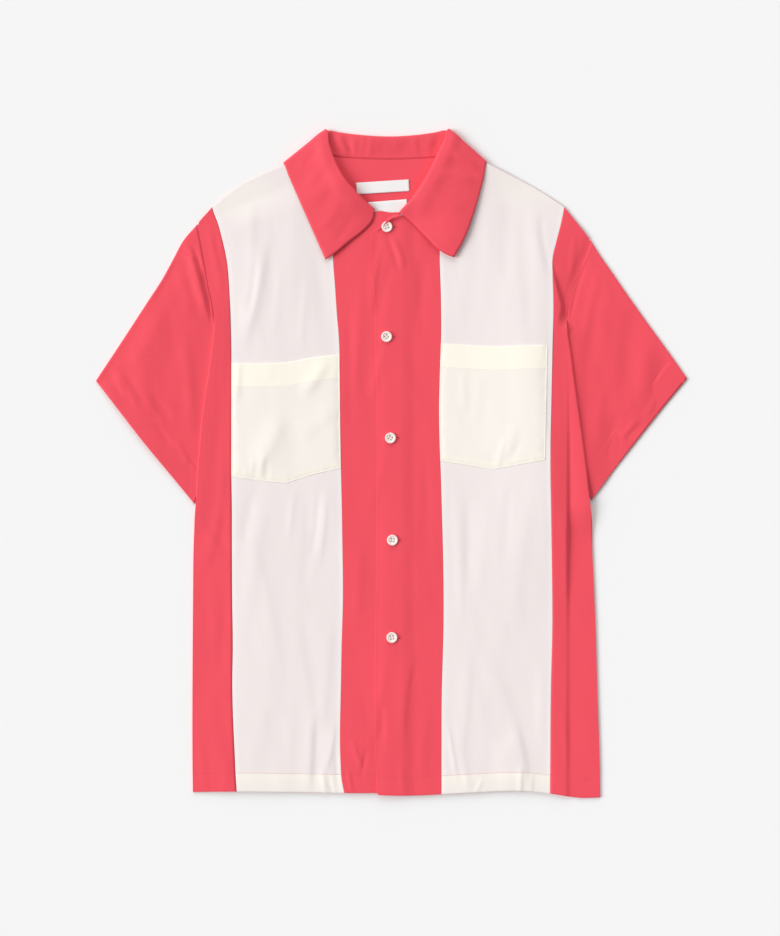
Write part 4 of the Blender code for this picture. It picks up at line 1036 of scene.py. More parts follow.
def side_grid(seams, sign, top):
    """Upper face of a front's side strip, its edge folded under where it lies over the sleeve."""
    inset = 0.5 * SEAM_GAP - SEAM_CLOSE
    top = closer(resampled(top, SIDE_TOP_POINTS), grid_step())
    flat = panel_grid(
        edge_at(seams, "outer", sign * inset), edge_at(seams, "edge", 0.0), top,
        upper_face(front_mid),
    )
    fold_top, run_in = SIDE_FOLD_TOP[sign > 0]
    edge, reach, radius = SIDE_FOLD[sign > 0]
    rows = []
    for row in flat:
        y_edge = row[-1, 1]
        tuck = float(seam(seams, "tuck", y_edge))
        above_low = smooth((y_edge - OVER_SLEEVE_LOW) / OVER_SLEEVE_RUN_IN)
        below_high = smooth((fold_top - y_edge) / run_in)
        if sign > 0:
            row[:, 2] += left_step(row[:, 0], row[:, 1]) * (row[-1, 2] - row[:, 2])
        width = abs(row[-1, 0] - row[0, 0])
        to_fold = width - radius - np.abs(row[:, 0] - row[0, 0])
        part = above_low * below_high * smooth(1 - to_fold / reach)
        row[:, 2] += part * (edge + 0.5 * WALL - row[:, 2])
        rows.append(curled_row(row, sign, tuck, radius + 0.5 * WALL))
    return oriented(np.stack(rows), sign)


def left_step(x, y):
    """1 where the left strip lies low, past the line where its fold runs on, and 0 before it."""
    past = x - np.interp(y, LEFT_STEP["y"], LEFT_STEP["x"])
    return smooth(past / LEFT_STEP_WIDTH + 0.5) * smooth((LEFT_STEP_TOP - y) / LEFT_STEP_RUN_IN)


def curled_row(row, sign, tuck, radius):
    """A row of a side strip, its end turned under and running back by the depth of the tuck."""
    turn = math.pi * float(smooth(tuck / TUCK_FULL_TURN))
    arc_step = max(radius * turn / TUCK_ARC_STEPS, TUCK_LEAST_STEP)
    back_steps = 4
    straight_step = max(tuck - TUCK_FULL_TURN + TUCK_RUN_BACK, 2 * TUCK_LEAST_STEP) / back_steps
    run, drop = [0.0], [0.0]
    for k in range(TUCK_ARC_STEPS):
        angle = turn * (k + 0.5) / TUCK_ARC_STEPS
        run.append(run[-1] + arc_step * math.cos(angle))
        drop.append(drop[-1] + arc_step * math.sin(angle))
    for _ in range(back_steps):
        run.append(run[-1] + straight_step * math.cos(turn))
        drop.append(drop[-1] + straight_step * math.sin(turn))
    end = row[-1]
    start = end[0] - sign * max(run)
    flat_end = row[:-1][sign * (start - row[:-1, 0]) > 0.2]
    missing = len(row) - 1 - len(flat_end)
    if missing:
        keep = np.linspace(0, 1, len(row) - 1)
        have = np.linspace(0, 1, len(flat_end))
        flat_end = np.stack([np.interp(keep, have, flat_end[:, k]) for k in range(3)], -1)
    curl = [(start + sign * r, end[1], end[2] - d) for r, d in zip(run, drop)]
    return np.concatenate([flat_end, np.array(curl)])


def sleeve_plan(seams, sign, top, cuff):
    """Plan points of a sleeve, rows from the armhole to the cuff and columns down from its top."""
    shoulder_y = top["y"][0]
    arm_count = math.ceil((shoulder_y - UNDERARM_LEVEL) / grid_step())
    arm_y = np.linspace(shoulder_y, UNDERARM_LEVEL, arm_count)
    arm_x = seam(seams, "edge", arm_y) - sign * seam(seams, "tuck", arm_y) + sign * ARM_GAP
    near_top = smooth((arm_y - BREAK_LEVEL) / (shoulder_y - BREAK_LEVEL))
    arm_x += near_top * (top["x"][0] + sign * ARM_GAP - arm_x[0])
    arm = np.stack([arm_x, arm_y], -1)
    share = (arm_y[0] - arm_y) / (arm_y[0] - arm_y[-1])
    stations = np.linspace(0, 1, math.ceil(SLEEVE_RUN / grid_step()))
    cuff_line = path(cuff, share)
    top_line = path(top, stations)
    top_line[0] = arm[0]
    arm[-1, 0] += sign * SEAM_GAP
    cuff_line[-1, 0] += sign * SEAM_GAP
    under_line = arm[-1] + stations[:, None] * (cuff_line[-1] - arm[-1])
    rows = []
    for u, at_top, at_under in zip(stations, top_line, under_line):
        plan = (1 - u) * arm + u * cuff_line
        plan += (1 - share)[:, None] * (at_top - (1 - u) * arm[0] - u * cuff_line[0])
        plan += share[:, None] * (at_under - (1 - u) * arm[-1] - u * cuff_line[-1])
        rows.append(plan)
    return np.stack(rows)


def hemmed_thickness(distance, depth):
    """Thickness of cloth that is double within a depth of its edge, where it is turned in."""
    cloth = bpy.context.scene.shirt_cloth
    hem = smooth((depth + 0.3 - distance) / 0.6)
    return (cloth.thickness + hem * (cloth.hem_thickness - cloth.thickness)) / MM


def sleeve_rings(plan, seams, sign):
    """Lower and upper grids of a flattened sleeve, and how far from its cuff their points are.

    Each row is a ring round both layers and both folds.
    """
    to_cuff = run_along(plan, 0)[-1:] - run_along(plan, 0)
    thickness = hemmed_thickness(to_cuff, CUFF_DEPTH)
    stand_off = CUFF_STANDS[sign > 0] * smooth(1 - to_cuff / CUFF_STANDS_REACH)
    radius = 0.5 * (WALL + STACK)
    walls = []
    for cover in (thickness, 0.0 * thickness):
        rows = zip(plan, cover, stand_off)
        walls.append(np.stack([sleeve_ring(*row, radius, seams, sign) for row in rows]))
    return walls, np.stack([sleeve_values(row) for row in to_cuff])


def sleeve_values(row):
    """A value along the upper layer, repeated round a sleeve's whole ring."""
    arc = SLEEVE_FOLD_ARC
    return np.concatenate([row, np.full(arc, row[-1]), row[::-1], np.full(arc, row[0])])


def sleeve_ring(row, cover, stands, radius, seams, sign):
    """One closed ring of a sleeve: its upper layer, both folds and its lower layer."""
    steps = np.hypot(*np.diff(row, axis=0).T)
    run = np.concatenate([[0], np.cumsum(steps)])
    inner_run = radius + run / run[-1] * (run[-1] - 2 * radius)
    line = np.stack([np.interp(inner_run, run, row[:, k]) for k in range(2)], -1)
    from_fold = np.minimum(run, run[-1] - run)
    x, y = line[:, 0], line[:, 1]
    covered = smooth(sign * (x - seam(seams, "edge", y)) / 14)
    top = sleeve_top(x, y, from_fold, seams, sign) - cover
    top = np.maximum(top + stands * smooth(from_fold / 20) * covered, 2 * cover + 0.15)
    low = cover + sleeve_underside(x, y, from_fold)
    upper = np.concatenate([line, top[:, None]], 1)
    lower = np.concatenate([line, low[:, None]], 1)
    parts = [upper]
    for k, inward, side in ((-1, row[-2] - row[-1], 1), (0, row[1] - row[0], -1)):
        outward = -inward / np.linalg.norm(inward)
        middle = 0.5 * (top[k] + low[k])
        height = 0.5 * (top[k] - low[k])
        size = radius - cover[k]
        angles = side * np.linspace(90, -90, SLEEVE_FOLD_ARC + 2)[1:-1]
        arc = []
        for angle in np.radians(angles):
            xy = line[k] + outward * size * math.cos(angle)
            arc.append((*xy, middle + height * math.sin(angle)))
        parts.append(np.array(arc))
        if k == -1:
            parts.append(lower[::-1])
    ring = np.concatenate(parts)
    return ring[::-1] if sign < 0 else ring


def sleeve_top(x, y, inset, seams, sign):
    """Upper face of a sleeve's upper layer, raised away from the body and from its folds."""
    beyond = sign * (x - seam(seams, "edge", y))
    puff = smooth((beyond - SLEEVE_PUFF_FROM) / SLEEVE_PUFF_REACH[sign > 0])
    puff = puff * smooth(inset / SLEEVE_INSET_REACH)
    creased = crease_height(SLEEVE_CREASES, x, y) + SLEEVE_DRAPE * drape(x, y)
    shown = smooth((beyond + 2) / 6) * smooth(inset / 6)
    depth = bpy.context.scene.shirt_cloth.crease_depth
    covered = smooth(seam(seams, "tuck", y) / TUCK_FULL_TURN)
    pressed = covered * (1 - smooth((beyond - 2) / SLEEVE_PRESSED_REACH))
    pressed = pressed * SLEEVE_PRESSED[sign > 0]
    slope = 0.0
    if sign > 0:
        slope = along(LEFT_SLEEVE_SLOPE["beyond"], LEFT_SLEEVE_SLOPE["z"], beyond)
        slope = slope * smooth(inset / SLEEVE_INSET_REACH)
        slope = slope * smooth((LEFT_SLOPE_TOP - y) / LEFT_SLOPE_RUN_IN)
    folded = puff * (SLEEVE_LOFT[sign > 0] + crease_height(FOLDS, x, y))
    raised = WALL + STACK + folded - pressed + slope
    return np.maximum(raised + shown * depth * creased, LEAST_SLEEVE)


def sleeve_underside(x, y, inset):
    """How far the lower layer's pressed creases stand off the surface it lies on."""
    return smooth(inset / 8) * np.clip(0.9 * drape(x + 400, y), 0.0, 0.35)


def collar_section(seam_xy, roll_xy, edge_xy, bulge, stand_z, roll_height, fall_z, reach):
    """Points across the collar band: up the stand, round the roll and out along the fall.

    stand_z and fall_z give the height at a place; roll_height is signed, and negative where
    the fall lies under the stand.
    """
    to_seam = (seam_xy - roll_xy) / np.linalg.norm(seam_xy - roll_xy)
    to_edge = (edge_xy - roll_xy) / np.linalg.norm(edge_xy - roll_xy)
    aside = np.array([-to_edge[1], to_edge[0]])
    stand_end = roll_xy + to_seam * reach
    fall_start = roll_xy + to_edge * reach
    low = stand_z(*stand_end)
    high = low + roll_height
    points = []
    for share in np.linspace(0, 1, STAND_STEPS + 1)[:-1]:
        xy = seam_xy + share * (stand_end - seam_xy)
        points.append((*xy, stand_z(*xy)))
    for a in np.radians(ROLL_ANGLES):
        direction = to_seam if a < 0 else to_edge
        xy = roll_xy + direction * reach * (1 - math.cos(a))
        points.append((*xy, low + roll_height * 0.5 * (1 + math.sin(a))))
    extra = high - fall_z(*fall_start)
    for share in np.linspace(0, 1, FALL_STEPS + 1)[1:]:
        xy = fall_start + share * (edge_xy - fall_start)
        xy = xy + aside * bulge(share)
        points.append((*xy, fall_z(*xy) + extra * (1 - share)))
    return np.array(points)


def station_xy(rows, i):
    """The places of the neck seam, the roll and the outer edge at a station."""
    return [np.array([rows[k + "_x"][i], rows[k + "_y"][i]]) for k in ("seam", "roll", "edge")]


def front_collar(rows, panel_mid, leaf_end, lifts, spread):
    """Sections of a front half, its fall lying over its stand and over the front."""
    run = collar_rows(rows, COLLAR_STATIONS)
    depth = bpy.context.scene.shirt_cloth.crease_depth
    sections = []
    for i in range(COLLAR_STATIONS):
        seam_xy, roll_xy, edge_xy = station_xy(run, i)
        back = i / (COLLAR_STATIONS - 1)
        rise = COLLAR_STAND_RISE * smooth(back * 3)
        lift = float(np.interp(back, (0, 0.25, 0.6, 1), (lifts[0], lifts[1], 0.7 * lifts[1], 0)))
        hump_back = smooth(back / 0.3)
        end = 1 - smooth(i / LEAF_END_STATIONS)

        def bulge(share):
            return end * float(along(leaf_end["share"], leaf_end["out"], share))

        def stand(x, y):
            share = math.dist((x, y), seam_xy) / math.dist(roll_xy, seam_xy)
            return float(panel_mid(x, y)) + rise * smooth(share)

        def fall(x, y):
            out = math.dist((x, y), roll_xy) / math.dist(edge_xy, roll_xy)
            near = math.dist((x, y), edge_xy)
            creased = depth * float(crease_height(COLLAR_CREASES, x, y)) * smooth(near / 6)
            lying = float(panel_mid(x, y)) + STACK + COLLAR_CLEAR
            aside = (out - LEAF_HUMP_AT) / LEAF_HUMP_WIDTH
            hump = LEAF_HUMP * hump_back * math.exp(-(aside**2))
            creased = max(creased, -0.4) * smooth(3 * out)
            return lying + creased + lift * smooth(1.2 * out) + hump

        height = 2 * run["roll"][i]
        reach = COLLAR_FOLD_REACH + spread * smooth(3 * back) * smooth(3 * (1 - back))
        line = (seam_xy, roll_xy, edge_xy)
        sections.append(collar_section(*line, bulge, stand, height, fall, reach))
    return sections


def back_collar():
    """Sections of the back half, its fall lying under its stand and under the back."""
    run = collar_rows(BACK_COLLAR, COLLAR_BACK_STATIONS)
    depth = bpy.context.scene.shirt_cloth.crease_depth

    def fall(x, y):
        return BACK_FALL_MID

    def straight(share):
        return 0.0

    sections = []
    for i in range(COLLAR_BACK_STATIONS):
        seam_xy, roll_xy, edge_xy = station_xy(run, i)
        high = BACK_FALL_MID + 2 * run["roll"][i]
        seam_z = float(back_mid(*seam_xy))

        def stand(x, y):
            share = math.dist((x, y), seam_xy) / math.dist(roll_xy, seam_xy)
            fan = depth * float(crease_height(STAND_CREASES, x, y))
            fan *= smooth(4 * (1 - share)) * smooth(5 * share)
            return seam_z + (high - seam_z) * smooth(share) + fan

        drop = BACK_FALL_MID - stand(*roll_xy)
        line = (seam_xy, roll_xy, edge_xy)
        sections.append(collar_section(*line, straight, stand, drop, fall, COLLAR_FOLD_REACH))
    return sections


def side_fold(front, before, back, after):
    """Moves the two sections at a side fold in from the silhouette and joins them by arcs.

    The arcs of the stand, the roll and the fall are nested, so they share their centre at the
    roll and spread from there to the neck seam and to the outer edge.
    """
    roll = slice(STAND_STEPS, STAND_STEPS + len(ROLL_ANGLES))
    middle = STAND_STEPS + len(ROLL_ANGLES) // 2
    last = len(front) - 1
    radius = 0.5 * np.abs(front[:, 2] - back[:, 2])
    keys = np.array([0, roll.start, roll.stop - 1, last])
    shifts = []
    for j, size in ((0, radius[0]), (middle, radius[roll].max()), (last, radius[last])):
        toward_front = before[j, :2] - front[j, :2]
        toward_back = after[j, :2] - back[j, :2]
        inward = toward_front / np.linalg.norm(toward_front)
        inward = inward + toward_back / np.linalg.norm(toward_back)
        inward /= np.linalg.norm(inward)
        shifts.append((*inward, size + 0.5 * WALL))
    shifts.insert(1, shifts[1])
    spread = [np.interp(np.arange(last + 1), keys, column) for column in zip(*shifts)]
    inward = np.stack(spread[:2], -1)
    inward /= np.linalg.norm(inward, axis=1, keepdims=True)
    centre = 0.5 * (front[:, :2] + back[:, :2]) + inward * spread[2][:, None]
    front[:, :2] = centre
    back[:, :2] = centre
    arcs = []
    for a in np.radians(SIDE_FOLD_ANGLES):
        xy = centre - inward * (radius * math.cos(a))[:, None]
        z = 0.5 * (front[:, 2] + back[:, 2]) + radius * math.sin(a)
        arcs.append(np.concatenate([xy, z[:, None]], axis=1))
    return arcs


def eased_sections(sections, reach):
    """Draws the sections next to a side fold in with it, so that none passes its end."""
    last, fixed = sections[-1], sections[-1 - reach]
    for k in range(1, reach):
        share = k / reach
        sections[-1 - reach + k][:, :2] = (1 - share) * fixed[:, :2] + share * last[:, :2]


def collar_grid():
    """The middle of the collar's whole band: right front, its fold, back, left fold, left front."""
    right = front_collar(RIGHT_COLLAR, front_mid, RIGHT_LEAF_END, LEAF_LIFTS[0], LEAF_SPREAD[0])
    left = front_collar(LEFT_COLLAR, top_front_mid, LEFT_LEAF_END, LEAF_LIFTS[1], LEAF_SPREAD[1])
    back = back_collar()
    near, far = COLLAR_NEXT_STATION, COLLAR_BACK_NEXT
    right_arcs = side_fold(right[-1], right[-1 - near], back[0], back[far])
    left_arcs = side_fold(left[-1], left[-1 - near], back[-1], back[-1 - far])
    eased_sections(right, near)
    eased_sections(left, near)
    for _ in range(2):
        eased_sections(back, far)
        back.reverse()
    return np.stack(right + right_arcs + back + left_arcs[::-1] + left[::-1])[:, ::-1]


def on_grid(grid, across, y):
    """Point of a panel's grid at a share across its columns and a height."""
    spread = (grid[0, :, 0] - grid[0, 0, 0]) / (grid[0, -1, 0] - grid[0, 0, 0])
    c = int(np.clip(np.searchsorted(spread, across) - 1, 0, len(spread) - 2))
    t = (across - spread[c]) / (spread[c + 1] - spread[c])
    column = grid[:, c] * (1 - t) + grid[:, c + 1] * t
    return np.array([np.interp(y, column[:, 1], column[:, k]) for k in range(3)])


# ---------------------------------------------------------------- node graphs


class Socket:
    """An output of a node that Python's operators work on, adding the nodes they need."""

    def __init__(self, graph, socket):
        self.graph = graph
        self.socket = socket

    def math(self, operation, *others):
        return self.graph.node("ShaderNodeMath", {"operation": operation}, (self, *others))

    def __add__(self, other):
        return self.math("ADD", other)

    def __sub__(self, other):
        return self.math("SUBTRACT", other)

    def __rsub__(self, other):
        return self.graph.node("ShaderNodeMath", {"operation": "SUBTRACT"}, (other, self))

    def __mul__(self, other):
        return self.math("MULTIPLY", other)

    __radd__ = __add__
    __rmul__ = __mul__

    def __truediv__(self, other):
        return self.math("DIVIDE", other)

    def __pow__(self, other):
        return self.math("POWER", other)

    def most(self, other):
        return self.math("MAXIMUM", other)

    def step(self, low, high):
        """0 at low and 1 at high, with an S curve between; low may be the greater."""
        settings = {"interpolation_type": "SMOOTHSTEP"}
        if low > high:
            return 1 - self.graph.node("ShaderNodeMapRange", settings, (self, high, low))
        return self.graph.node("ShaderNodeMapRange", settings, (self, low, high))


class Graph:
    """A node tree that is written as calls and expressions."""

    def __init__(self, tree):
        self.tree = tree

    def node(self, kind, settings=None, inputs=(), out=0):
        """Adds a node, sets it up, fills its sockets, and returns one of its outputs."""
        made = self.tree.nodes.new(kind)
        for name, value in (settings or {}).items():
            setattr(made, name, value)
        pairs = inputs.items() if isinstance(inputs, dict) else enumerate(inputs)
        for key, value in pairs:
            if isinstance(value, Socket):
                self.tree.links.new(value.socket, made.inputs[key])
            else:
                made.inputs[key].default_value = value
        return Socket(self, made.outputs[out])

    def mix(self, share, first, second):
        """One colour fading to another."""
        return self.node(
            "ShaderNodeMix", {"data_type": "RGBA"}, {0: share, 6: first, 7: second}, out=2
        )

    def split(self, vector):
        made = self.node("ShaderNodeSeparateXYZ", inputs=(vector,))
        node = made.socket.node
        return [Socket(self, output) for output in node.outputs]

    def join(self, x, y, z):
        return self.node("ShaderNodeCombineXYZ", inputs=(x, y, z))

    def noise(self, vector, scale, detail=2.0, roughness=0.5):
        return self.node(
            "ShaderNodeTexNoise", {"noise_dimensions": "3D"},
            {"Vector": vector, "Scale": scale, "Detail": detail, "Roughness": roughness},
        )


def new_material(name):
    """A material with an empty graph, its shader and its graph."""
    made = bpy.data.materials.new(name)
    made.use_nodes = True
    tree = made.node_tree
    tree.nodes.clear()
    graph = Graph(tree)
    shader = tree.nodes.new("ShaderNodeBsdfPrincipled")
    output = tree.nodes.new("ShaderNodeOutputMaterial")
    tree.links.new(shader.outputs[0], output.inputs[0])
    return made, graph, shader


def drive(graph, shader, **inputs):
    """Links or sets a shader's sockets; an underscore in a name stands for a space."""
    for name, value in inputs.items():
        socket = shader.inputs[name.replace("_", " ")]
        if isinstance(value, Socket):
            graph.tree.links.new(value.socket, socket)
        else:
            socket.default_value = value


def scaled(colour, amount):
    return tuple(min(1.0, c * amount) for c in colour[:3]) + (1.0,)


# Sizes in the cloth's finish, in metres
THREAD_PITCH = 0.00042
WEAVE_DEPTH = 0.00005
SLUB_WIDTH = 0.0013
SLUB_LENGTH = 0.045
CLOUD_WIDTH = 0.03
CLOUD_LENGTH = 0.09
SEAM_ALLOWANCE = 0.0042
SEAM_ALLOWANCE_FADE = 0.0012
ALLOWANCE_COLOUR = (0.88, 0.85, 0.84, 1.0)
# Where the pale cloth lies double at the shoulders: the middle and reach of each place
SHOULDER_PATCHES = ((-0.168, 0.292, 0.046, 0.030), (0.150, 0.300, 0.046, 0.028))
SHOULDER_PATCH_SHARE = 0.28
# How creamy the hem is at its foot, what it gains further up, and between which levels
HEM_CREAM = (0.32, 0.28)
HEM_CREAM_LEVELS = (0.004, 0.018)
POCKET_FOOT_TURN = 0.0075
POCKET_SIDE_TURN = 0.0030
THREAD_TWIST = 0.0006
RIBBON_RIB = 0.0007
RIBBON_GRAIN = 0.0009
SELVEDGE = 0.0008


def weave_relief(graph, u, v):
    """Height of a fine plain weave, from 0.25 to 0.75."""
    turn = 2 * math.pi / THREAD_PITCH
    warp = (u * turn).math("SINE")
    weft = (v * turn).math("SINE")
    return warp * weft * 0.25 + 0.5


def cloth_material(name, colour_of, roughness=0.62, tint=(1, 1, 1, 1)):
    """Limp viscose: a fine weave, slubs down the warp, a soft lustre that varies.

    colour_of takes the graph, a slub share and the sewing distances, and gives the colour.
    """
    made, graph, shader = new_material(name)
    place = graph.node("ShaderNodeUVMap", {"uv_map": "weave"})
    u, v, _ = graph.split(place)
    slub = graph.noise(graph.join(u / SLUB_WIDTH, v / SLUB_LENGTH, 0.0), 1.0, 3.0, 0.6)
    cloud = graph.noise(graph.join(u / CLOUD_WIDTH, v / CLOUD_LENGTH, 4.0), 1.0, 2.0, 0.5)
    streak = (slub - 0.5) * 0.7 + (cloud - 0.5) * 0.6 + 0.5
    sewn = graph.node("ShaderNodeAttribute", {"attribute_name": "sewn"}, out="Vector")
    colour = colour_of(graph, streak, graph.split(sewn))
    height = weave_relief(graph, u, v) + slub * 0.5
    bump = graph.node(
        "ShaderNodeBump", None, {"Strength": 0.55, "Distance": WEAVE_DEPTH, "Height": height}
    )
    drive(
        graph, shader, Base_Color=colour, Roughness=(slub - 0.5) * 0.16 + roughness, Normal=bump,
        Sheen_Weight=0.12, Sheen_Roughness=0.45, Sheen_Tint=tint, Specular_IOR_Level=0.28,
    )
    return made


def red_colour(graph, streak, sewn):
    """Plain red, a little darker and lighter in streaks."""
    red = bpy.context.scene.shirt_cloth.red
    return graph.mix(streak, scaled(red, 0.93), scaled(red, 1.06))


def doubled(distance, depth, soft=0.0004):
    """1 within a depth of an edge, where the cloth is double, and 0 beyond it."""
    return distance.step(depth + soft, depth - soft)


def pale_colour(graph, streak, sewn):
    """Pale stripe: creamy in its hem and at the shoulder, and less so at its seams."""
    cloth = bpy.context.scene.shirt_cloth
    from_inner, above_hem, from_outer = sewn
    single = graph.mix(streak, scaled(cloth.pale, 0.975), scaled(cloth.pale, 1.02))
    double = graph.mix(streak, scaled(cloth.cream, 0.985), scaled(cloth.cream, 1.01))
    allowance = doubled(from_inner, SEAM_ALLOWANCE, SEAM_ALLOWANCE_FADE)
    allowance = allowance.most(doubled(from_outer, SEAM_ALLOWANCE, SEAM_ALLOWANCE_FADE))
    tinted = graph.mix(allowance * 0.55, single, ALLOWANCE_COLOUR)
    x, y, _ = graph.split(graph.node("ShaderNodeTexCoord", out="Object"))
    patch = None
    for cx, cy, rx, ry in SHOULDER_PATCHES:
        far = ((x - cx) / rx) ** 2.0 + ((y - cy) / ry) ** 2.0
        spot = far.step(1.6, 0.0)
        patch = spot if patch is None else patch.most(spot)
    tinted = graph.mix(patch * SHOULDER_PATCH_SHARE, tinted, double)
    creamy = HEM_CREAM[0] + HEM_CREAM[1] * above_hem.step(*HEM_CREAM_LEVELS)
    band = doubled(above_hem, HEM_DEPTH * MM) * creamy
    return graph.mix(band, tinted, double)


def pocket_colour(graph, streak, sewn):
    """Patch pocket: creamy in its doubled top band and where its edges are turned in."""
    cloth = bpy.context.scene.shirt_cloth
    from_side, below_top, above_foot = sewn
    single = graph.mix(streak, scaled(body_colour(cloth), 0.98), scaled(body_colour(cloth), 1.015))
    double = graph.mix(streak, scaled(cloth.cream, 0.985), scaled(cloth.cream, 1.01))
    foot = doubled(above_foot, POCKET_FOOT_TURN, 0.003) * 0.6
    turned_in = foot.most(doubled(from_side, POCKET_SIDE_TURN, 0.0008) * 0.5)
    band = doubled(below_top, POCKET_BAND * MM, 0.0007)
    return graph.mix(band.most(turned_in), single, double)


def body_colour(cloth):
    """A pocket's single cloth over the stripe: between the pale and the cream."""
    return tuple(0.48 * p + 0.52 * c for p, c in zip(cloth.pale, cloth.cream))


def plain_thread(name, colour):
    """Sewing thread: two plies twisted together, from Object coordinates."""
    made, graph, shader = new_material(name)
    x, y, z = graph.split(graph.node("ShaderNodeTexCoord", out="Object"))
    twist = ((x + y + z) * (2 * math.pi / THREAD_TWIST)).math("SINE") * 0.5 + 0.5
    drive(
        graph, shader, Base_Color=graph.mix(twist, scaled(colour, 0.82), scaled(colour, 1.0)),
        Roughness=twist * 0.1 + 0.6, Sheen_Weight=0.1,
    )
    return made


def label_material(name):
    """Woven ribbon: blank, with a fine crosswise rib and a slightly darker selvedge."""
    made, graph, shader = new_material(name)
    u, v, _ = graph.split(graph.node("ShaderNodeUVMap", {"uv_map": "weave"}))
    rib = (v * (2 * math.pi / RIBBON_RIB)).math("SINE") * 0.5 + 0.5
    grain = graph.noise(graph.join(u / RIBBON_GRAIN, v / RIBBON_GRAIN, 0.0), 1.0, 2.0)
    sewn = graph.node("ShaderNodeAttribute", {"attribute_name": "sewn"}, out="Vector")
    from_edge = graph.split(sewn)[0]
    white = bpy.context.scene.shirt_sewing.label
    face = graph.mix(rib * 0.4 + grain * 0.4, scaled(white, 0.95), white)
    colour = graph.mix(doubled(from_edge, SELVEDGE, 0.0003), face, scaled(white, 0.90))
    bump = graph.node(
        "ShaderNodeBump", None, {"Strength": 0.5, "Distance": 0.00006, "Height": rib + grain * 0.5}
    )
    drive(
        graph, shader, Base_Color=colour, Roughness=grain * 0.12 + 0.5, Normal=bump,
        Sheen_Weight=0.08,
    )
    return made


# ---------------------------------------------------------------- stitches


def stitch_tree():
    """Geometry Nodes that lay a row of stitches along each line of a mesh."""
    tree = bpy.data.node_groups.new("stitch_row", "GeometryNodeTree")
    face = tree.interface
    face.new_socket("Line", in_out="INPUT", socket_type="NodeSocketGeometry")
    for name in ("Pitch", "Stitch length", "Thread width"):
        face.new_socket(name, in_out="INPUT", socket_type="NodeSocketFloat")
    face.new_socket("Thread", in_out="INPUT", socket_type="NodeSocketMaterial")
    face.new_socket("Stitches", in_out="OUTPUT", socket_type="NodeSocketGeometry")
    graph = Graph(tree)
    given = tree.nodes.new("NodeGroupInput")
    line, pitch, length, width, thread = (Socket(graph, s) for s in given.outputs[:5])
    curve = graph.node("GeometryNodeMeshToCurve", None, (line,))
    spaced = graph.node(
        "GeometryNodeResampleCurve", {"mode": "LENGTH"}, {"Curve": curve, "Length": pitch}
    )
    tangent = graph.node("GeometryNodeInputTangent")
    turn = graph.node(
        "FunctionNodeAlignRotationToVector", {"axis": "X", "pivot_axis": "AUTO"},
        {"Vector": tangent},
    )
    bead = graph.node(
        "GeometryNodeMeshUVSphere", None, {"Segments": 6, "Rings": 4, "Radius": 0.5}
    )
    size = graph.join(length, width, width * 0.7)
    placed = graph.node(
        "GeometryNodeInstanceOnPoints", None,
        {"Points": spaced, "Instance": bead, "Rotation": turn, "Scale": size},
    )
    real = graph.node("GeometryNodeRealizeInstances", None, (placed,))
    smooth_faces = graph.node("GeometryNodeSetShadeSmooth", None, (real,))
    done = graph.node(
        "GeometryNodeSetMaterial", None, {"Geometry": smooth_faces, "Material": thread}
    )
    tree.links.new(done.socket, tree.nodes.new("NodeGroupOutput").inputs[0])
    return tree


def evaluated_mesh(guide):
    """A plain mesh of an object with its modifiers applied."""
    bpy.context.view_layer.update()
    seen = guide.evaluated_get(bpy.context.evaluated_depsgraph_get())
    return bpy.data.meshes.new_from_object(seen)


def sew(name, lines, material, pitch=None, length=None, width=None):
    """Rows of stitches along lines of points in millimetres, as one plain mesh."""
    sewing = bpy.context.scene.shirt_sewing
    mesh = bpy.data.meshes.new(name + "_lines")
    points, edges = [], []
    for line in lines:
        start = len(points)
        points += [Vector(p) * MM for p in line]
        edges += [(k, k + 1) for k in range(start, len(points) - 1)]
    mesh.from_pydata(points, edges, [])
    guide = put(name + "_lines", mesh)
    tree = bpy.data.node_groups.get("stitch_row") or stitch_tree()
    modifier = guide.modifiers.new("stitches", "NODES")
    modifier.node_group = tree
    values = {
        "Pitch": pitch or sewing.pitch,
        "Stitch length": length or sewing.length,
        "Thread width": width or sewing.thread,
        "Thread": material,
    }
    for item in tree.interface.items_tree:
        if item.name in values:
            modifier[item.identifier] = values[item.name]
    made = put(name, evaluated_mesh(guide))
    bpy.data.objects.remove(guide)
    finish_piece(made, material)


def height_on(*pieces):
    """Function giving the height of the top of some pieces at a place, in millimetres."""
    points, faces = [], []
    for piece in pieces:
        start = len(points)
        points += [v.co.copy() for v in piece.data.vertices]
        faces += [[start + v for v in p.vertices] for p in piece.data.polygons]
    tree = BVHTree.FromPolygons(points, faces)

    def height(x, y):
        hit = tree.ray_cast(Vector((x * MM, y * MM, 1.0)), Vector((0, 0, -1)))[0]
        return None if hit is None else hit.z / MM

    return height


def laid(line, height, sink=0.02):
    """Lines of points on a surface, from one line of XY points; parted where it misses."""
    parts, part = [], []
    for x, y in line:
        z = height(x, y)
        if z is None:
            parts.append(part)
            part = []
        else:
            part.append((x, y, z - sink))
    parts.append(part)
    return [p for p in parts if len(p) > 1]


RED_SHEEN = (1.0, 0.72, 0.74, 1.0)


def shared_material(make, name, *settings, **named):
    """A material by its name, made when it is first asked for."""
    return bpy.data.materials.get(name) or make(name, *settings, **named)


def red_cloth():
    return shared_material(cloth_material, "red_viscose", red_colour, 0.60, tint=RED_SHEEN)


def pale_cloth():
    return shared_material(cloth_material, "pale_viscose", pale_colour)


def pocket_cloth():
    return shared_material(cloth_material, "pocket_viscose", pocket_colour)


def red_thread():
    red = scaled(bpy.context.scene.shirt_cloth.red, 0.86)
    return shared_material(plain_thread, "red_thread", red)


def cream_thread():
    cream = scaled(bpy.context.scene.shirt_cloth.cream, 0.92)
    return shared_material(plain_thread, "cream_thread", cream)


# ---------------------------------------------------------------- settings


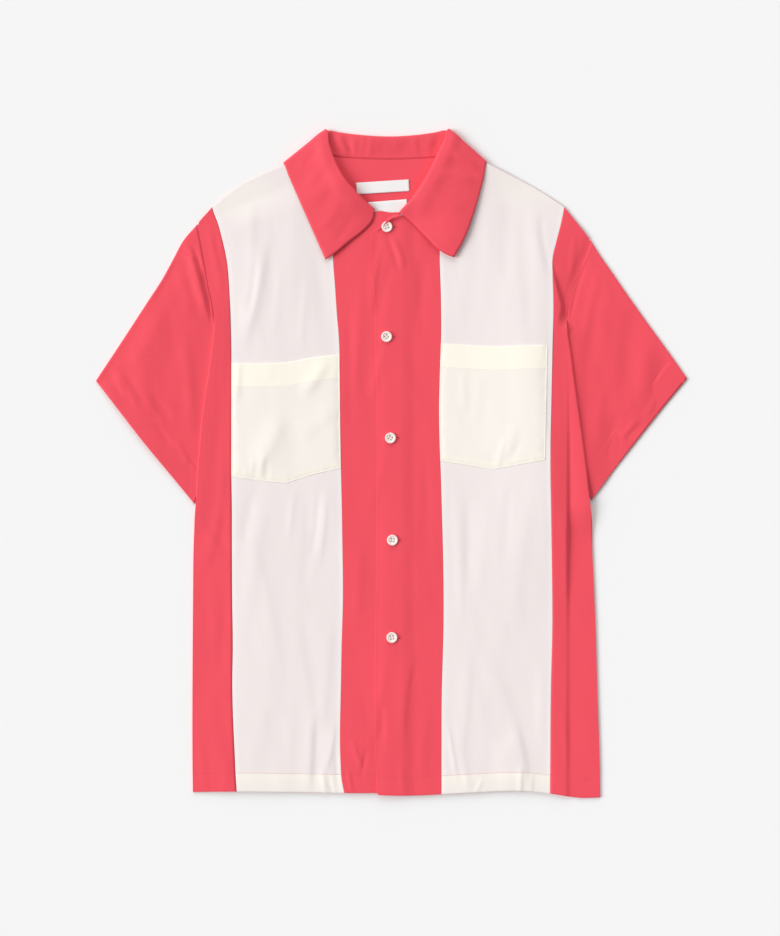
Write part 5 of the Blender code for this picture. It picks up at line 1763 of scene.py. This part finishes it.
class ShirtCloth(bpy.types.PropertyGroup):
    """Sizes and colours of the cloth"""

    thickness: FloatProperty(
        name="Thickness", description="Thickness of single cloth", default=0.0005, unit="LENGTH"
    )
    hem_thickness: FloatProperty(
        name="Hem thickness", description="Thickness where cloth is turned in twice",
        default=0.001, unit="LENGTH",
    )
    grid_step: FloatProperty(
        name="Grid step", description="Spacing of the points that carry the creases",
        default=0.00225, unit="LENGTH",
    )
    crease_depth: FloatProperty(
        name="Crease depth", description="Share of their full depth that the creases have",
        default=1.0,
    )
    red: FloatVectorProperty(
        name="Red", description="Sleeves, collar, back and front strips", subtype="COLOR", size=4,
        default=(0.872, 0.077, 0.110, 1.0),
    )
    pale: FloatVectorProperty(
        name="Pale", description="Single cloth of the pale stripes", subtype="COLOR", size=4,
        default=(0.86, 0.785, 0.775, 1.0),
    )
    cream: FloatVectorProperty(
        name="Cream", description="Doubled cloth of the hems and pockets", subtype="COLOR", size=4,
        default=(0.96, 0.915, 0.80, 1.0),
    )


class ShirtSewing(bpy.types.PropertyGroup):
    """Sizes and colours of the stitching and labels"""

    pitch: FloatProperty(
        name="Pitch", description="From one stitch to the next", default=0.0026, unit="LENGTH"
    )
    length: FloatProperty(
        name="Stitch length", description="Length of thread that shows", default=0.0022,
        unit="LENGTH",
    )
    thread: FloatProperty(
        name="Thread width", description="Width of the sewing thread", default=0.00042,
        unit="LENGTH",
    )
    label: FloatVectorProperty(
        name="Label", description="Colour of the woven labels", subtype="COLOR", size=4,
        default=(0.91, 0.90, 0.90, 1.0),
    )


class ShirtButtons(bpy.types.PropertyGroup):
    """Sizes of the buttons"""

    diameter: FloatProperty(
        name="Diameter", description="Width of a button", unit="LENGTH",
        default=round(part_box("button_2")[1].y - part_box("button_2")[0].y, 4),
    )
    hole: FloatProperty(
        name="Hole", description="Width of a thread hole", default=0.0016, unit="LENGTH"
    )
    hole_spacing: FloatProperty(
        name="Hole spacing", description="Between neighbouring holes", default=0.0029,
        unit="LENGTH",
    )
    sides: IntProperty(name="Sides", description="Sides of the turned body", default=48)


class ShirtStage(bpy.types.PropertyGroup):
    """Floor, lights and camera"""

    floor: FloatVectorProperty(
        name="Floor", description="Colour of the floor", subtype="COLOR", size=4,
        default=(0.90, 0.90, 0.90, 1.0),
    )
    sky: FloatProperty(name="Sky", description="Strength of the light all round", default=0.39)
    side_light: FloatProperty(
        name="Side light", description="Strength of the soft light from the left", default=2.35
    )
    top_light: FloatProperty(
        name="Top light", description="Strength of the soft light from above the collar",
        default=1.3,
    )
    height: FloatProperty(
        name="Camera height", description="Camera above the floor", default=3.0, unit="LENGTH"
    )


# ---------------------------------------------------------------- pieces


# A button's rounded edge, the width of its rim and of the slope inside it, the angle past which
# an edge is crisp, the depth of its dish, and how much further each one is turned than the last
BUTTON_EDGE = 0.0007
BUTTON_RIM = 0.0016
BUTTON_RIM_SLOPE = 0.0009
BUTTON_CREASE = math.radians(35)
BUTTON_DISH = 0.0006
BUTTON_TURN = 0.35
BUTTON_COUNT = 5
# Thread in the buttons' holes: half the space between two bars, and a bar's places along the
# way between two holes, each with its depth
BAR_APART = 0.0003
BAR = ((-1, 0.0011), (-0.5, 0.00045), (0.5, 0.00045), (1, 0.0011))
# A buttonhole's ends on both sides of its button, half its width and its steps
BUTTONHOLE_BACK = 5.0
BUTTONHOLE_FRONT = 9.2
BUTTONHOLE_HALF = 0.65
BUTTONHOLE_STEP = 0.4
BUTTONHOLE_THREAD = 0.0009
# Stitches that lie side by side: from one to the next, and their length
CLOSE_PITCH = 0.0006
CLOSE_LENGTH = 0.0009
LABEL_PITCH = 0.0018
LABEL_STITCH = 0.0015


def above_hem(grid):
    """Height of a grid's points above the bottom edge."""
    return grid[..., 1] - hem_level(grid[..., 0])


def panel_area(grid):
    """Area of a grid's surface, in square metres."""
    across = np.diff(grid, axis=1)[:-1]
    up = np.diff(grid, axis=0)[:, :-1]
    return float(np.linalg.norm(np.cross(across, up), axis=-1).sum()) * MM * MM


def declare_sheet(grid, flat):
    """Works out a piece's area from its grid and a flat size in millimetres; the area is not used
    further.
    """
    width, length = flat
    area = min(panel_area(grid), width * length * MM * MM)


def flat_size(grid):
    """Width and length that a flat panel's grid spans, in whole millimetres."""
    span = np.ptp(grid.reshape(-1, 3), axis=0)
    return math.ceil(span[0]), math.ceil(span[1])


class SHIRT_OT_back(bpy.types.Operator):
    """Cut the back: one panel that everything else lies on"""

    bl_idname = "shirt.back"
    bl_label = "Back"

    def execute(self, context):
        def right_edge(y):
            return seam(RIGHT_SEAMS, "edge", y) + seam(RIGHT_SEAMS, "tuck", y)

        def left_edge(y):
            return seam(LEFT_SEAMS, "edge", y) - seam(LEFT_SEAMS, "tuck", y)

        ends = (BACK_RIGHT_SHOULDER["across"][-1], BACK_LEFT_SHOULDER["across"][0])
        per_station = (ends[1] - ends[0]) / (COLLAR_BACK_STATIONS - 1)
        margin = COLLAR_BACK_NEXT * per_station
        inner = slice(COLLAR_BACK_NEXT, COLLAR_BACK_STATIONS - COLLAR_BACK_NEXT)
        across = (ends[0] + margin, ends[1] - margin)
        neck = neck_points(BACK_COLLAR, COLLAR_BACK_STATIONS, inner, across)
        shoulders = []
        for points in (BACK_RIGHT_SHOULDER, BACK_LEFT_SHOULDER):
            shoulder = resampled(points, BACK_SHOULDER_POINTS)
            shoulder["y"] = shoulder["y"] - BACK_SHOULDER_INSET
            shoulders.append(shoulder)
        top = joined(shoulders[0], neck, shoulders[1])
        top = closer(top, BACK_COLUMN_STEP * grid_step())

        def height(x, y):
            return back_mid(x, y) + 0.5 * WALL

        grid = panel_grid(right_edge, left_edge, with_edge_columns(top, BACK_WIDTH), height)
        under, upper = shell(grid, WALL, sewn=0)
        x, y = under[..., 0], under[..., 1]
        pressed = crease_height(UNDERSIDE_CREASES, x, y) * smooth(edge_distance(grid) / 12)
        under[..., 2] += np.clip(pressed, 0, 0.4 * WALL)
        piece = build_cloth("shirt_back", (under, upper), flat_weave(grid))
        finish_piece(piece, red_cloth(), ["back"])
        declare_sheet(grid, flat_size(grid))
        return {"FINISHED"}


class SHIRT_OT_fronts(bpy.types.Operator):
    """Cut both fronts: a side strip, a pale stripe and a centre strip each"""

    bl_idname = "shirt.fronts"
    bl_label = "Fronts"

    def execute(self, context):
        grids = front_grids()
        grids["front_right_side"] = side_grid(RIGHT_SEAMS, -1, RIGHT_SIDE_TOP)
        grids["front_left_side"] = side_grid(LEFT_SEAMS, 1, LEFT_SIDE_TOP)
        for name, grid in grids.items():
            seams = HALVES["right" if "right" in name else "left"][0]
            curled = name.endswith("side")
            if not curled and grid[0, 0, 0] > grid[0, -1, 0]:
                grid = grid[:, ::-1]
            y = grid[..., 1]
            inner = np.abs(grid[..., 0] - seam(seams, "inner", y))
            outer = np.abs(grid[..., 0] - seam(seams, "outer", y))
            sewn = np.stack([inner, above_hem(grid), outer], -1)
            thickness = hemmed_thickness(above_hem(grid), HEM_DEPTH)
            walls = shell(grid, thickness, section_rows=curled)
            piece = build_cloth("shirt_" + name, walls, flat_weave(grid), sewn)
            pale = name.endswith("stripe")
            material = pale_cloth() if pale else red_cloth()
            finish_piece(piece, material, [name])
            declare_sheet(grid, flat_size(grid))
        return {"FINISHED"}


class SHIRT_OT_sleeves(bpy.types.Operator):
    """Cut both sleeves: flattened tubes with a hem at the cuff"""

    bl_idname = "shirt.sleeves"
    bl_label = "Sleeves"

    def execute(self, context):
        for side, top, cuff in (
            ("right", RIGHT_SLEEVE_TOP, RIGHT_CUFF), ("left", LEFT_SLEEVE_TOP, LEFT_CUFF)
        ):
            seams, sign = HALVES[side]
            plan = sleeve_plan(seams, sign, top, cuff)
            (under, upper), to_cuff = sleeve_rings(plan, seams, sign)
            if sign < 0:
                to_cuff = to_cuff[:, ::-1]
            weave = np.stack([run_along(upper, 1), to_cuff], -1)
            sewn = np.repeat(to_cuff[..., None], 3, -1)
            name = "shirt_sleeve_" + side
            piece = build_cloth(name, (under, upper), weave, sewn, wraps=True)
            finish_piece(piece, red_cloth(), ["sleeve_" + side])
            whole = np.concatenate([upper, upper[:, :1]], 1)
            wide = float(run_along(whole, 1).max())
            length = float(run_along(plan, 0)[-1].max())
            declare_sheet(whole, (math.ceil(wide), math.ceil(length)))
            lines = laid(self.hem_line(plan), height_on(piece))
            sew("stitches_sleeve_" + side, lines, red_thread())
        return {"FINISHED"}

    @staticmethod
    def hem_line(plan):
        """XY points across a sleeve at the depth of its hem."""
        runs = run_along(plan, 0).T[2:-2]
        lines = plan.transpose(1, 0, 2)[2:-2]
        return [plan_at(run[-1] - CUFF_DEPTH, run, line) for run, line in zip(runs, lines)]


class SHIRT_OT_collar(bpy.types.Operator):
    """Cut the collar: one folded band with its stand, roll and fall, and its topstitching"""

    bl_idname = "shirt.collar"
    bl_label = "Collar"

    def execute(self, context):
        middle = collar_grid()
        normal = grid_normals(middle)
        over = middle + 0.5 * WALL * normal
        draw = rounding(np.full(middle.shape[:2], WALL), edge_distance(middle, sewn=1))
        upper = over - normal * draw[..., None]
        under = middle - normal * (0.5 * WALL - draw)[..., None]
        for side in (under, upper):
            side[..., 2] = np.maximum(side[..., 2], 0.0)
        piece = build_cloth("shirt_collar", (under, upper), run_weave(middle)[..., ::-1])
        finish_piece(piece, red_cloth(), ["collar"])
        length = float(run_along(middle, 0)[-1].max())
        depth = float(run_along(middle, 1)[:, -1].max())
        declare_sheet(middle, (math.ceil(length), math.ceil(depth)))
        lines = []
        height = height_on(piece)
        for half in (middle[:COLLAR_STATIONS], middle[-COLLAR_STATIONS:][::-1]):
            lines += laid(self.topstitch(half), height)
        sew("stitches_collar", lines, red_thread())
        return {"FINISHED"}

    @staticmethod
    def topstitch(half):
        """XY points of the topstitch inside a leaf's front edge and then its outer edge."""
        inset = COLLAR_TOPSTITCH
        down = run_along(half, 0)
        out = run_along(half, 1)
        front, outer = [], []
        for column in range(FALL_STEPS - 2, 0, -1):
            if out[0, column] < inset:
                break
            front.append(plan_at(inset, down[:, column], half[:, column]))
        for row in range(1, len(half) - COLLAR_NEXT_STATION):
            if down[row, 0] < inset:
                continue
            outer.append(plan_at(inset, out[row], half[row]))
        return front + outer


class SHIRT_OT_pockets(bpy.types.Operator):
    """Cut both patch pockets from the stripes' own points, and sew them on"""

    bl_idname = "shirt.pockets"
    bl_label = "Pockets"

    def execute(self, context):
        stripes = front_grids()
        for half, pocket in (("right", RIGHT_POCKET), ("left", LEFT_POCKET)):
            stripe_name = f"front_{half}_stripe"
            grid = oriented(self.pocket_grid(stripes[stripe_name], pocket), HALVES[half][1])
            run, rise = run_along(grid, 1), run_along(grid, 0)
            from_side = np.minimum(run, run[:, -1:] - run)
            sewn = np.stack([from_side, rise[-1:] - rise, rise], -1)
            walls = shell(grid, self.thickness(context, sewn))
            piece = build_cloth("shirt_pocket_" + half, walls, flat_weave(grid), sewn)
            finish_piece(piece, pocket_cloth(), ["pocket_" + half])
            declare_sheet(grid, flat_size(grid))
            height = height_on(piece)
            lines = laid(self.edge_line(grid), height) + laid(self.band_line(grid), height)
            sew("stitches_pocket_" + half, lines, cream_thread())
        return {"FINISHED"}

    @staticmethod
    def thickness(context, sewn):
        """Double in the band at the top, fading to single cloth near the sides, and single
        elsewhere.
        """
        cloth = context.scene.shirt_cloth
        side, top, foot = sewn[..., 0], sewn[..., 1], sewn[..., 2]
        thin = cloth.thickness / MM
        double = smooth((POCKET_BAND + 0.3 - top) / 0.6)
        inside = smooth(np.minimum(side, foot) / POCKET_LOFT_REACH)
        return thin + inside * double * (cloth.hem_thickness / MM - thin)

    @staticmethod
    def pocket_grid(stripe, pocket):
        """Upper face of a pocket, a cloth's thickness and a gap above the stripe's."""
        step = grid_step()
        last = pocket["across"][-1]
        width = abs(stripe[0, -1, 0] - stripe[0, 0, 0]) * last
        near = POCKET_EDGE_STEPS / width
        inner = np.linspace(near[-1], 1 - near[-1], math.ceil(width / step))
        point = pocket["across"][np.argmin(pocket["bottom"])] / last
        inner[np.argmin(np.abs(inner - point))] = point
        across = last * np.concatenate([near[:-1], inner, 1 - near[-2::-1]])
        top = along(pocket["across"], pocket["top"], across)
        foot = np.interp(across, pocket["across"], pocket["bottom"])
        near = POCKET_EDGE_STEPS / POCKET_DEPTH
        levels = np.linspace(near[-1], 1 - near[-1], math.ceil(POCKET_DEPTH / step))
        rows = np.concatenate([near[:-1], levels, 1 - near[-2::-1]])
        columns = []
        for a, high, low in zip(across, top, foot):
            columns.append([on_grid(stripe, a, low + r * (high - low)) for r in rows])
        grid = np.array(columns).transpose(1, 0, 2)
        run, rise = run_along(grid, 1), run_along(grid, 0)
        sewn = np.minimum(np.minimum(run, run[:, -1:] - run), rise)
        loft = smooth(sewn / POCKET_LOFT_REACH)
        puckers = hills(grid[..., 0] * 1.7, grid[..., 1] * 1.7, 7.0, 12.0, 11)
        near_edge = np.exp(-(((sewn - POCKET_PUCKER_AT) / POCKET_PUCKER_WIDTH) ** 2))
        draped = POCKET_DRAPE * drape(grid[..., 0] + 90, grid[..., 1])
        grid[..., 2] += POCKET_EDGE + loft * (POCKET_LOFT + draped)
        grid[..., 2] += POCKET_PUCKER * near_edge * puckers
        groove = np.exp(-(((sewn - POCKET_TOPSTITCH) / POCKET_GROOVE_WIDTH) ** 2))
        grid[..., 2] -= POCKET_GROOVE * groove
        return grid

    @staticmethod
    def edge_line(grid):
        """XY points inside a pocket's sides and foot."""
        run, rise = run_along(grid, 1), run_along(grid, 0)
        inset = POCKET_TOPSTITCH
        rows = range(len(grid) - 2, 3, -1)
        left = [plan_at(inset, run[row], grid[row]) for row in rows]
        right = [plan_at(run[row, -1] - inset, run[row], grid[row]) for row in rows]
        columns = range(3, grid.shape[1] - 3)
        foot = [plan_at(inset, rise[:, column], grid[:, column]) for column in columns]
        return left + foot + right[::-1]

    @staticmethod
    def band_line(grid):
        """XY points across a pocket at the depth of its band."""
        runs = run_along(grid, 0).T[3:-3]
        lines = grid.transpose(1, 0, 2)[3:-3]
        return [plan_at(run[-1] - POCKET_BAND, run, line) for run, line in zip(runs, lines)]


class SHIRT_OT_hem(bpy.types.Operator):
    """Sew the front hem: one row of red thread across all six strips"""

    bl_idname = "shirt.hem"
    bl_label = "Hem stitching"

    def execute(self, context):
        names = [
            f"shirt_front_{half}_{strip}"
            for half in ("right", "left")
            for strip in ("side", "stripe", "centre")
        ]
        height = height_on(*(bpy.data.objects[name] for name in names))
        x = np.arange(HEM["x"][0] + 3, HEM["x"][-1] - 3, 1.5)
        y = hem_level(x) + HEM_DEPTH
        sew("stitches_hem", laid(zip(x, y), height), red_thread())
        return {"FINISHED"}


class SHIRT_OT_labels(bpy.types.Operator):
    """Weave the two blank labels and sew them inside the neck"""

    bl_idname = "shirt.labels"
    bl_label = "Labels"

    def execute(self, context):
        height = height_on(bpy.data.objects["shirt_back"])
        ribbon = shared_material(label_material, "label_ribbon")
        for name, spec in (("neck_label", NECK_LABEL), ("size_label", SIZE_LABEL)):
            u, v = np.meshgrid(np.linspace(-0.5, 0.5, 41), np.linspace(-0.5, 0.5, 15))
            dx, dy = u * spec["width"], v * spec["height"]
            x, y = self.placed(spec, dx, dy)
            z = np.array([[height(a, b) for a, b in zip(*row)] for row in zip(x, y)])
            ripple = LABEL_RIPPLE * np.sin(7 * u + 1.3) * (1 - (2 * u) ** 4)
            grid = np.stack([x, y, z + SEAM_GAP + LABEL_LIFT + ripple], -1)
            sewn = np.repeat(edge_distance(grid)[..., None], 3, -1)
            weave = np.stack([dx, dy], -1)
            piece = build_cloth("shirt_" + name, shell(grid, LABEL_THICKNESS), weave, sewn)
            finish_piece(piece, ribbon, [name])
            across, down = 0.5 * spec["width"], 0.5 * spec["height"]
            lines = []
            for end in (LABEL_STITCH_IN - across, across - LABEL_STITCH_IN):
                side = np.linspace(LABEL_STITCH_DOWN - down, down - LABEL_STITCH_DOWN, 12)
                line = [self.placed(spec, end, s) for s in side]
                lines += laid(line, height_on(piece))
            stitches = "stitches_" + name
            sew(stitches, lines, cream_thread(), LABEL_PITCH, LABEL_STITCH)
        return {"FINISHED"}

    @staticmethod
    def placed(spec, dx, dy):
        """X and Y of a place on a turned label, from how far it is across and up from its middle."""
        turn = math.radians(spec["turn"])
        x = spec["x"] + dx * math.cos(turn) - dy * math.sin(turn)
        y = spec["y"] + dx * math.sin(turn) + dy * math.cos(turn)
        return x, y


class SHIRT_OT_buttons(bpy.types.Operator):
    """Turn the five four-hole buttons, sew them on and work their buttonholes"""

    bl_idname = "shirt.buttons"
    bl_label = "Buttons"

    def execute(self, context):
        # The buttons keep the button_shell material that model.glb gives their slot
        material = bpy.data.materials["button_shell"]
        front = height_on(
            bpy.data.objects["shirt_front_left_centre"],
            bpy.data.objects["shirt_front_right_centre"],
        )
        for index in range(1, BUTTON_COUNT + 1):
            name = f"button_{index}"
            low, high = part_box(name)
            middle = 0.5 * (low + high)
            turn = BUTTON_TURN * index
            piece = self.turned_button(context, "shirt_" + name, high.z - low.z)
            piece.data.transform(matrix_at(middle.x, middle.y, low.z, turn))
            finish_piece(piece, material, [name])
            self.sew_on(context, name, middle, high.z, turn)
            self.buttonhole(name, middle / MM, front)
        return {"FINISHED"}

    @staticmethod
    def turned_button(context, name, thickness):
        """A button about the origin, its underside on Z = 0, turned and then drilled."""
        buttons = context.scene.shirt_buttons
        radius = 0.5 * buttons.diameter
        edge = BUTTON_EDGE
        quarter = 0.5 * math.pi
        profile = [(0.0, 0.0), (radius - edge, 0.0)]
        profile += [
            (radius - edge * (1 - math.sin(a)), edge * (1 - math.cos(a)))
            for a in np.linspace(0.3, quarter, 4)
        ]
        profile += [
            (radius - edge * (1 - math.cos(a)), thickness - edge * (1 - math.sin(a)))
            for a in np.linspace(0.0, quarter, 5)
        ]
        rim, floor = radius - BUTTON_RIM, thickness - BUTTON_DISH
        profile += [
            (rim - BUTTON_RIM_SLOPE * share, thickness - BUTTON_DISH * float(smooth(share)))
            for share in np.linspace(0, 1, 5)
        ]
        profile += [(0.5 * rim, floor), (0.0, floor)]
        shape = bmesh.new()
        turns = [2 * math.pi * k / buttons.sides for k in range(buttons.sides)]
        rings = []
        for r, z in profile:
            ring = [(r * math.cos(a), r * math.sin(a), z) for a in turns] if r else [(0, 0, z)]
            rings.append([shape.verts.new(point) for point in ring])
        for lower, upper in zip(rings, rings[1:]):
            for k in range(buttons.sides):
                n = (k + 1) % buttons.sides
                if len(lower) == 1:
                    shape.faces.new((lower[0], upper[n], upper[k]))
                elif len(upper) == 1:
                    shape.faces.new((lower[k], lower[n], upper[0]))
                else:
                    shape.faces.new((lower[k], lower[n], upper[n], upper[k]))
        mesh = bpy.data.meshes.new(name)
        shape.to_mesh(mesh)
        shape.free()
        piece = put(name, mesh)
        cutter = drill(buttons, thickness)
        cut = piece.modifiers.new("holes", "BOOLEAN")
        cut.operation = "DIFFERENCE"
        cut.solver = "EXACT"
        cut.object = cutter
        cut_mesh = evaluated_mesh(piece)
        piece.modifiers.clear()
        piece.data = cut_mesh
        bpy.data.objects.remove(cutter)
        cut_mesh.shade_smooth()
        cut_mesh.set_sharp_from_angle(angle=BUTTON_CREASE)
        return piece

    @staticmethod
    def sew_on(context, name, middle, high, turn):
        """Two bars of doubled thread through the holes."""
        gap = 0.5 * context.scene.shirt_buttons.hole_spacing
        lines = []
        for side in (-1, 1):
            for lift in (-BAR_APART, BAR_APART):
                line = []
                for end, depth in BAR:
                    along_bar = Vector((end * gap, side * gap + lift, 0))
                    at = matrix_at(middle.x, middle.y, 0.0, turn) @ along_bar
                    line.append((at.x / MM, at.y / MM, (high - depth) / MM))
                lines.append(line)
        sew("thread_" + name, lines, cream_thread(), CLOSE_PITCH, CLOSE_LENGTH)

    @staticmethod
    def buttonhole(name, middle, front):
        """A worked slot under a button, with close stitches down both of its lips."""
        lines = []
        x = np.arange(middle.x - BUTTONHOLE_BACK, middle.x + BUTTONHOLE_FRONT, BUTTONHOLE_STEP)
        for side in (-1, 1):
            lines += laid([(a, middle.y + side * BUTTONHOLE_HALF) for a in x], front, 0.0)
        end = np.arange(-BUTTONHOLE_HALF, BUTTONHOLE_HALF + 0.01, BUTTONHOLE_STEP)
        lines += laid([(middle.x + BUTTONHOLE_FRONT, middle.y + s) for s in end], front, 0.0)
        hole = "buttonhole_" + name[-1]
        sew(hole, lines, red_thread(), CLOSE_PITCH, CLOSE_LENGTH, BUTTONHOLE_THREAD)


def matrix_at(x, y, z, turn):
    return Matrix.Translation((x, y, z)) @ Matrix.Rotation(turn, 4, "Z")


def drill(buttons, thickness):
    """Four rods that cut a button's thread holes."""
    shape = bmesh.new()
    offset = 0.5 * buttons.hole_spacing
    for sx in (-1, 1):
        for sy in (-1, 1):
            made = bmesh.ops.create_cone(
                shape, cap_ends=True, segments=16, radius1=0.5 * buttons.hole,
                radius2=0.5 * buttons.hole, depth=4 * thickness,
            )
            bmesh.ops.translate(shape, verts=made["verts"], vec=(sx * offset, sy * offset, 0))
    mesh = bpy.data.meshes.new("button_drill")
    shape.to_mesh(mesh)
    shape.free()
    return put("button_drill", mesh)


FLOOR_HALF = 6.0
FLOOR_DROP = 0.00005
# Name, direction and width of each soft light, in degrees
LIGHTS = (("side_light", 178.0, 34.0, 38.0), ("top_light", 95.0, 31.0, 44.0))
# The camera's view: its long side, its middle in the shirt's plan and the sensor's width
VIEW_LENGTH = 1.0109
VIEW_MIDDLE = (-0.00162, -0.00486)
SENSOR = 36.0


class SHIRT_OT_stage(bpy.types.Operator):
    """Lay the pale floor, and set the lights and the camera that looks straight down"""

    bl_idname = "shirt.stage"
    bl_label = "Stage"

    def execute(self, context):
        stage = context.scene.shirt_stage
        self.floor(stage)
        self.lights(context, stage)
        self.camera(context, stage)
        return {"FINISHED"}

    @staticmethod
    def floor(stage):
        mesh = bpy.data.meshes.new("floor")
        corners = ((-1, -1), (1, -1), (1, 1), (-1, 1))
        points = [(x * FLOOR_HALF, y * FLOOR_HALF, -FLOOR_DROP) for x, y in corners]
        mesh.from_pydata(points, [], [(0, 1, 2, 3)])
        made, graph, shader = new_material("floor_paint")
        drive(graph, shader, Base_Color=tuple(stage.floor), Roughness=0.9, Specular_IOR_Level=0.0)
        mesh.materials.append(made)
        put("floor", mesh)

    @staticmethod
    def lights(context, stage):
        world = bpy.data.worlds.new("studio")
        world.use_nodes = True
        background = world.node_tree.nodes["Background"]
        background.inputs["Color"].default_value = (1.0, 1.0, 1.0, 1.0)
        background.inputs["Strength"].default_value = stage.sky
        context.scene.world = world
        context.scene.view_settings.view_transform = "Standard"
        for name, azimuth, elevation, spread in LIGHTS:
            lamp = bpy.data.lights.new(name, "SUN")
            lamp.angle = math.radians(spread)
            lamp.energy = getattr(stage, name)
            made = bpy.data.objects.new(name, lamp)
            turn, rise = math.radians(azimuth), math.radians(elevation)
            level = math.cos(rise)
            away = Vector((math.cos(turn) * level, math.sin(turn) * level, math.sin(rise)))
            made.rotation_euler = away.to_track_quat("Z", "Y").to_euler()
            context.scene.collection.objects.link(made)

    @staticmethod
    def camera(context, stage):
        """Straight down over the view's middle, so that the view's long side is VIEW_LENGTH."""
        lens = bpy.data.cameras.new("camera")
        lens.sensor_width = SENSOR
        lens.lens = SENSOR * stage.height / VIEW_LENGTH
        lens.clip_end = 50.0
        made = bpy.data.objects.new("camera", lens)
        made.location = (*VIEW_MIDDLE, stage.height)
        context.scene.collection.objects.link(made)
        context.scene.camera = made


class SHIRT_PT_panel(bpy.types.Panel):
    """Steps of making the shirt"""

    bl_idname = "SHIRT_PT_panel"
    bl_label = "Bowling shirt"
    bl_space_type = "VIEW_3D"
    bl_region_type = "UI"
    bl_category = "Shirt"

    def draw(self, context):
        for step in STEPS:
            self.layout.operator(step.bl_idname)
        for group in GROUPS:
            box = self.layout.box()
            settings = getattr(context.scene, group)
            for name in settings.__annotations__:
                box.prop(settings, name)


STEPS = (
    SHIRT_OT_stage,
    SHIRT_OT_back,
    SHIRT_OT_fronts,
    SHIRT_OT_sleeves,
    SHIRT_OT_collar,
    SHIRT_OT_pockets,
    SHIRT_OT_hem,
    SHIRT_OT_labels,
    SHIRT_OT_buttons,
)
GROUPS = dict(
    shirt_cloth=ShirtCloth, shirt_sewing=ShirtSewing, shirt_buttons=ShirtButtons,
    shirt_stage=ShirtStage,
)


def register():
    for name, group in GROUPS.items():
        bpy.utils.register_class(group)
        setattr(bpy.types.Scene, name, PointerProperty(type=group))
    for step in STEPS:
        bpy.utils.register_class(step)
    bpy.utils.register_class(SHIRT_PT_panel)


def unregister():
    bpy.utils.unregister_class(SHIRT_PT_panel)
    for step in reversed(STEPS):
        bpy.utils.unregister_class(step)
    for name, group in GROUPS.items():
        delattr(bpy.types.Scene, name)
        bpy.utils.unregister_class(group)


def main():
    register()
    bpy.ops.shirt.stage()
    bpy.ops.shirt.back()
    bpy.ops.shirt.fronts()
    bpy.ops.shirt.sleeves()
    bpy.ops.shirt.collar()
    bpy.ops.shirt.pockets()
    bpy.ops.shirt.hem()
    bpy.ops.shirt.labels()
    bpy.ops.shirt.buttons()


if __name__ == "__main__":
    main()
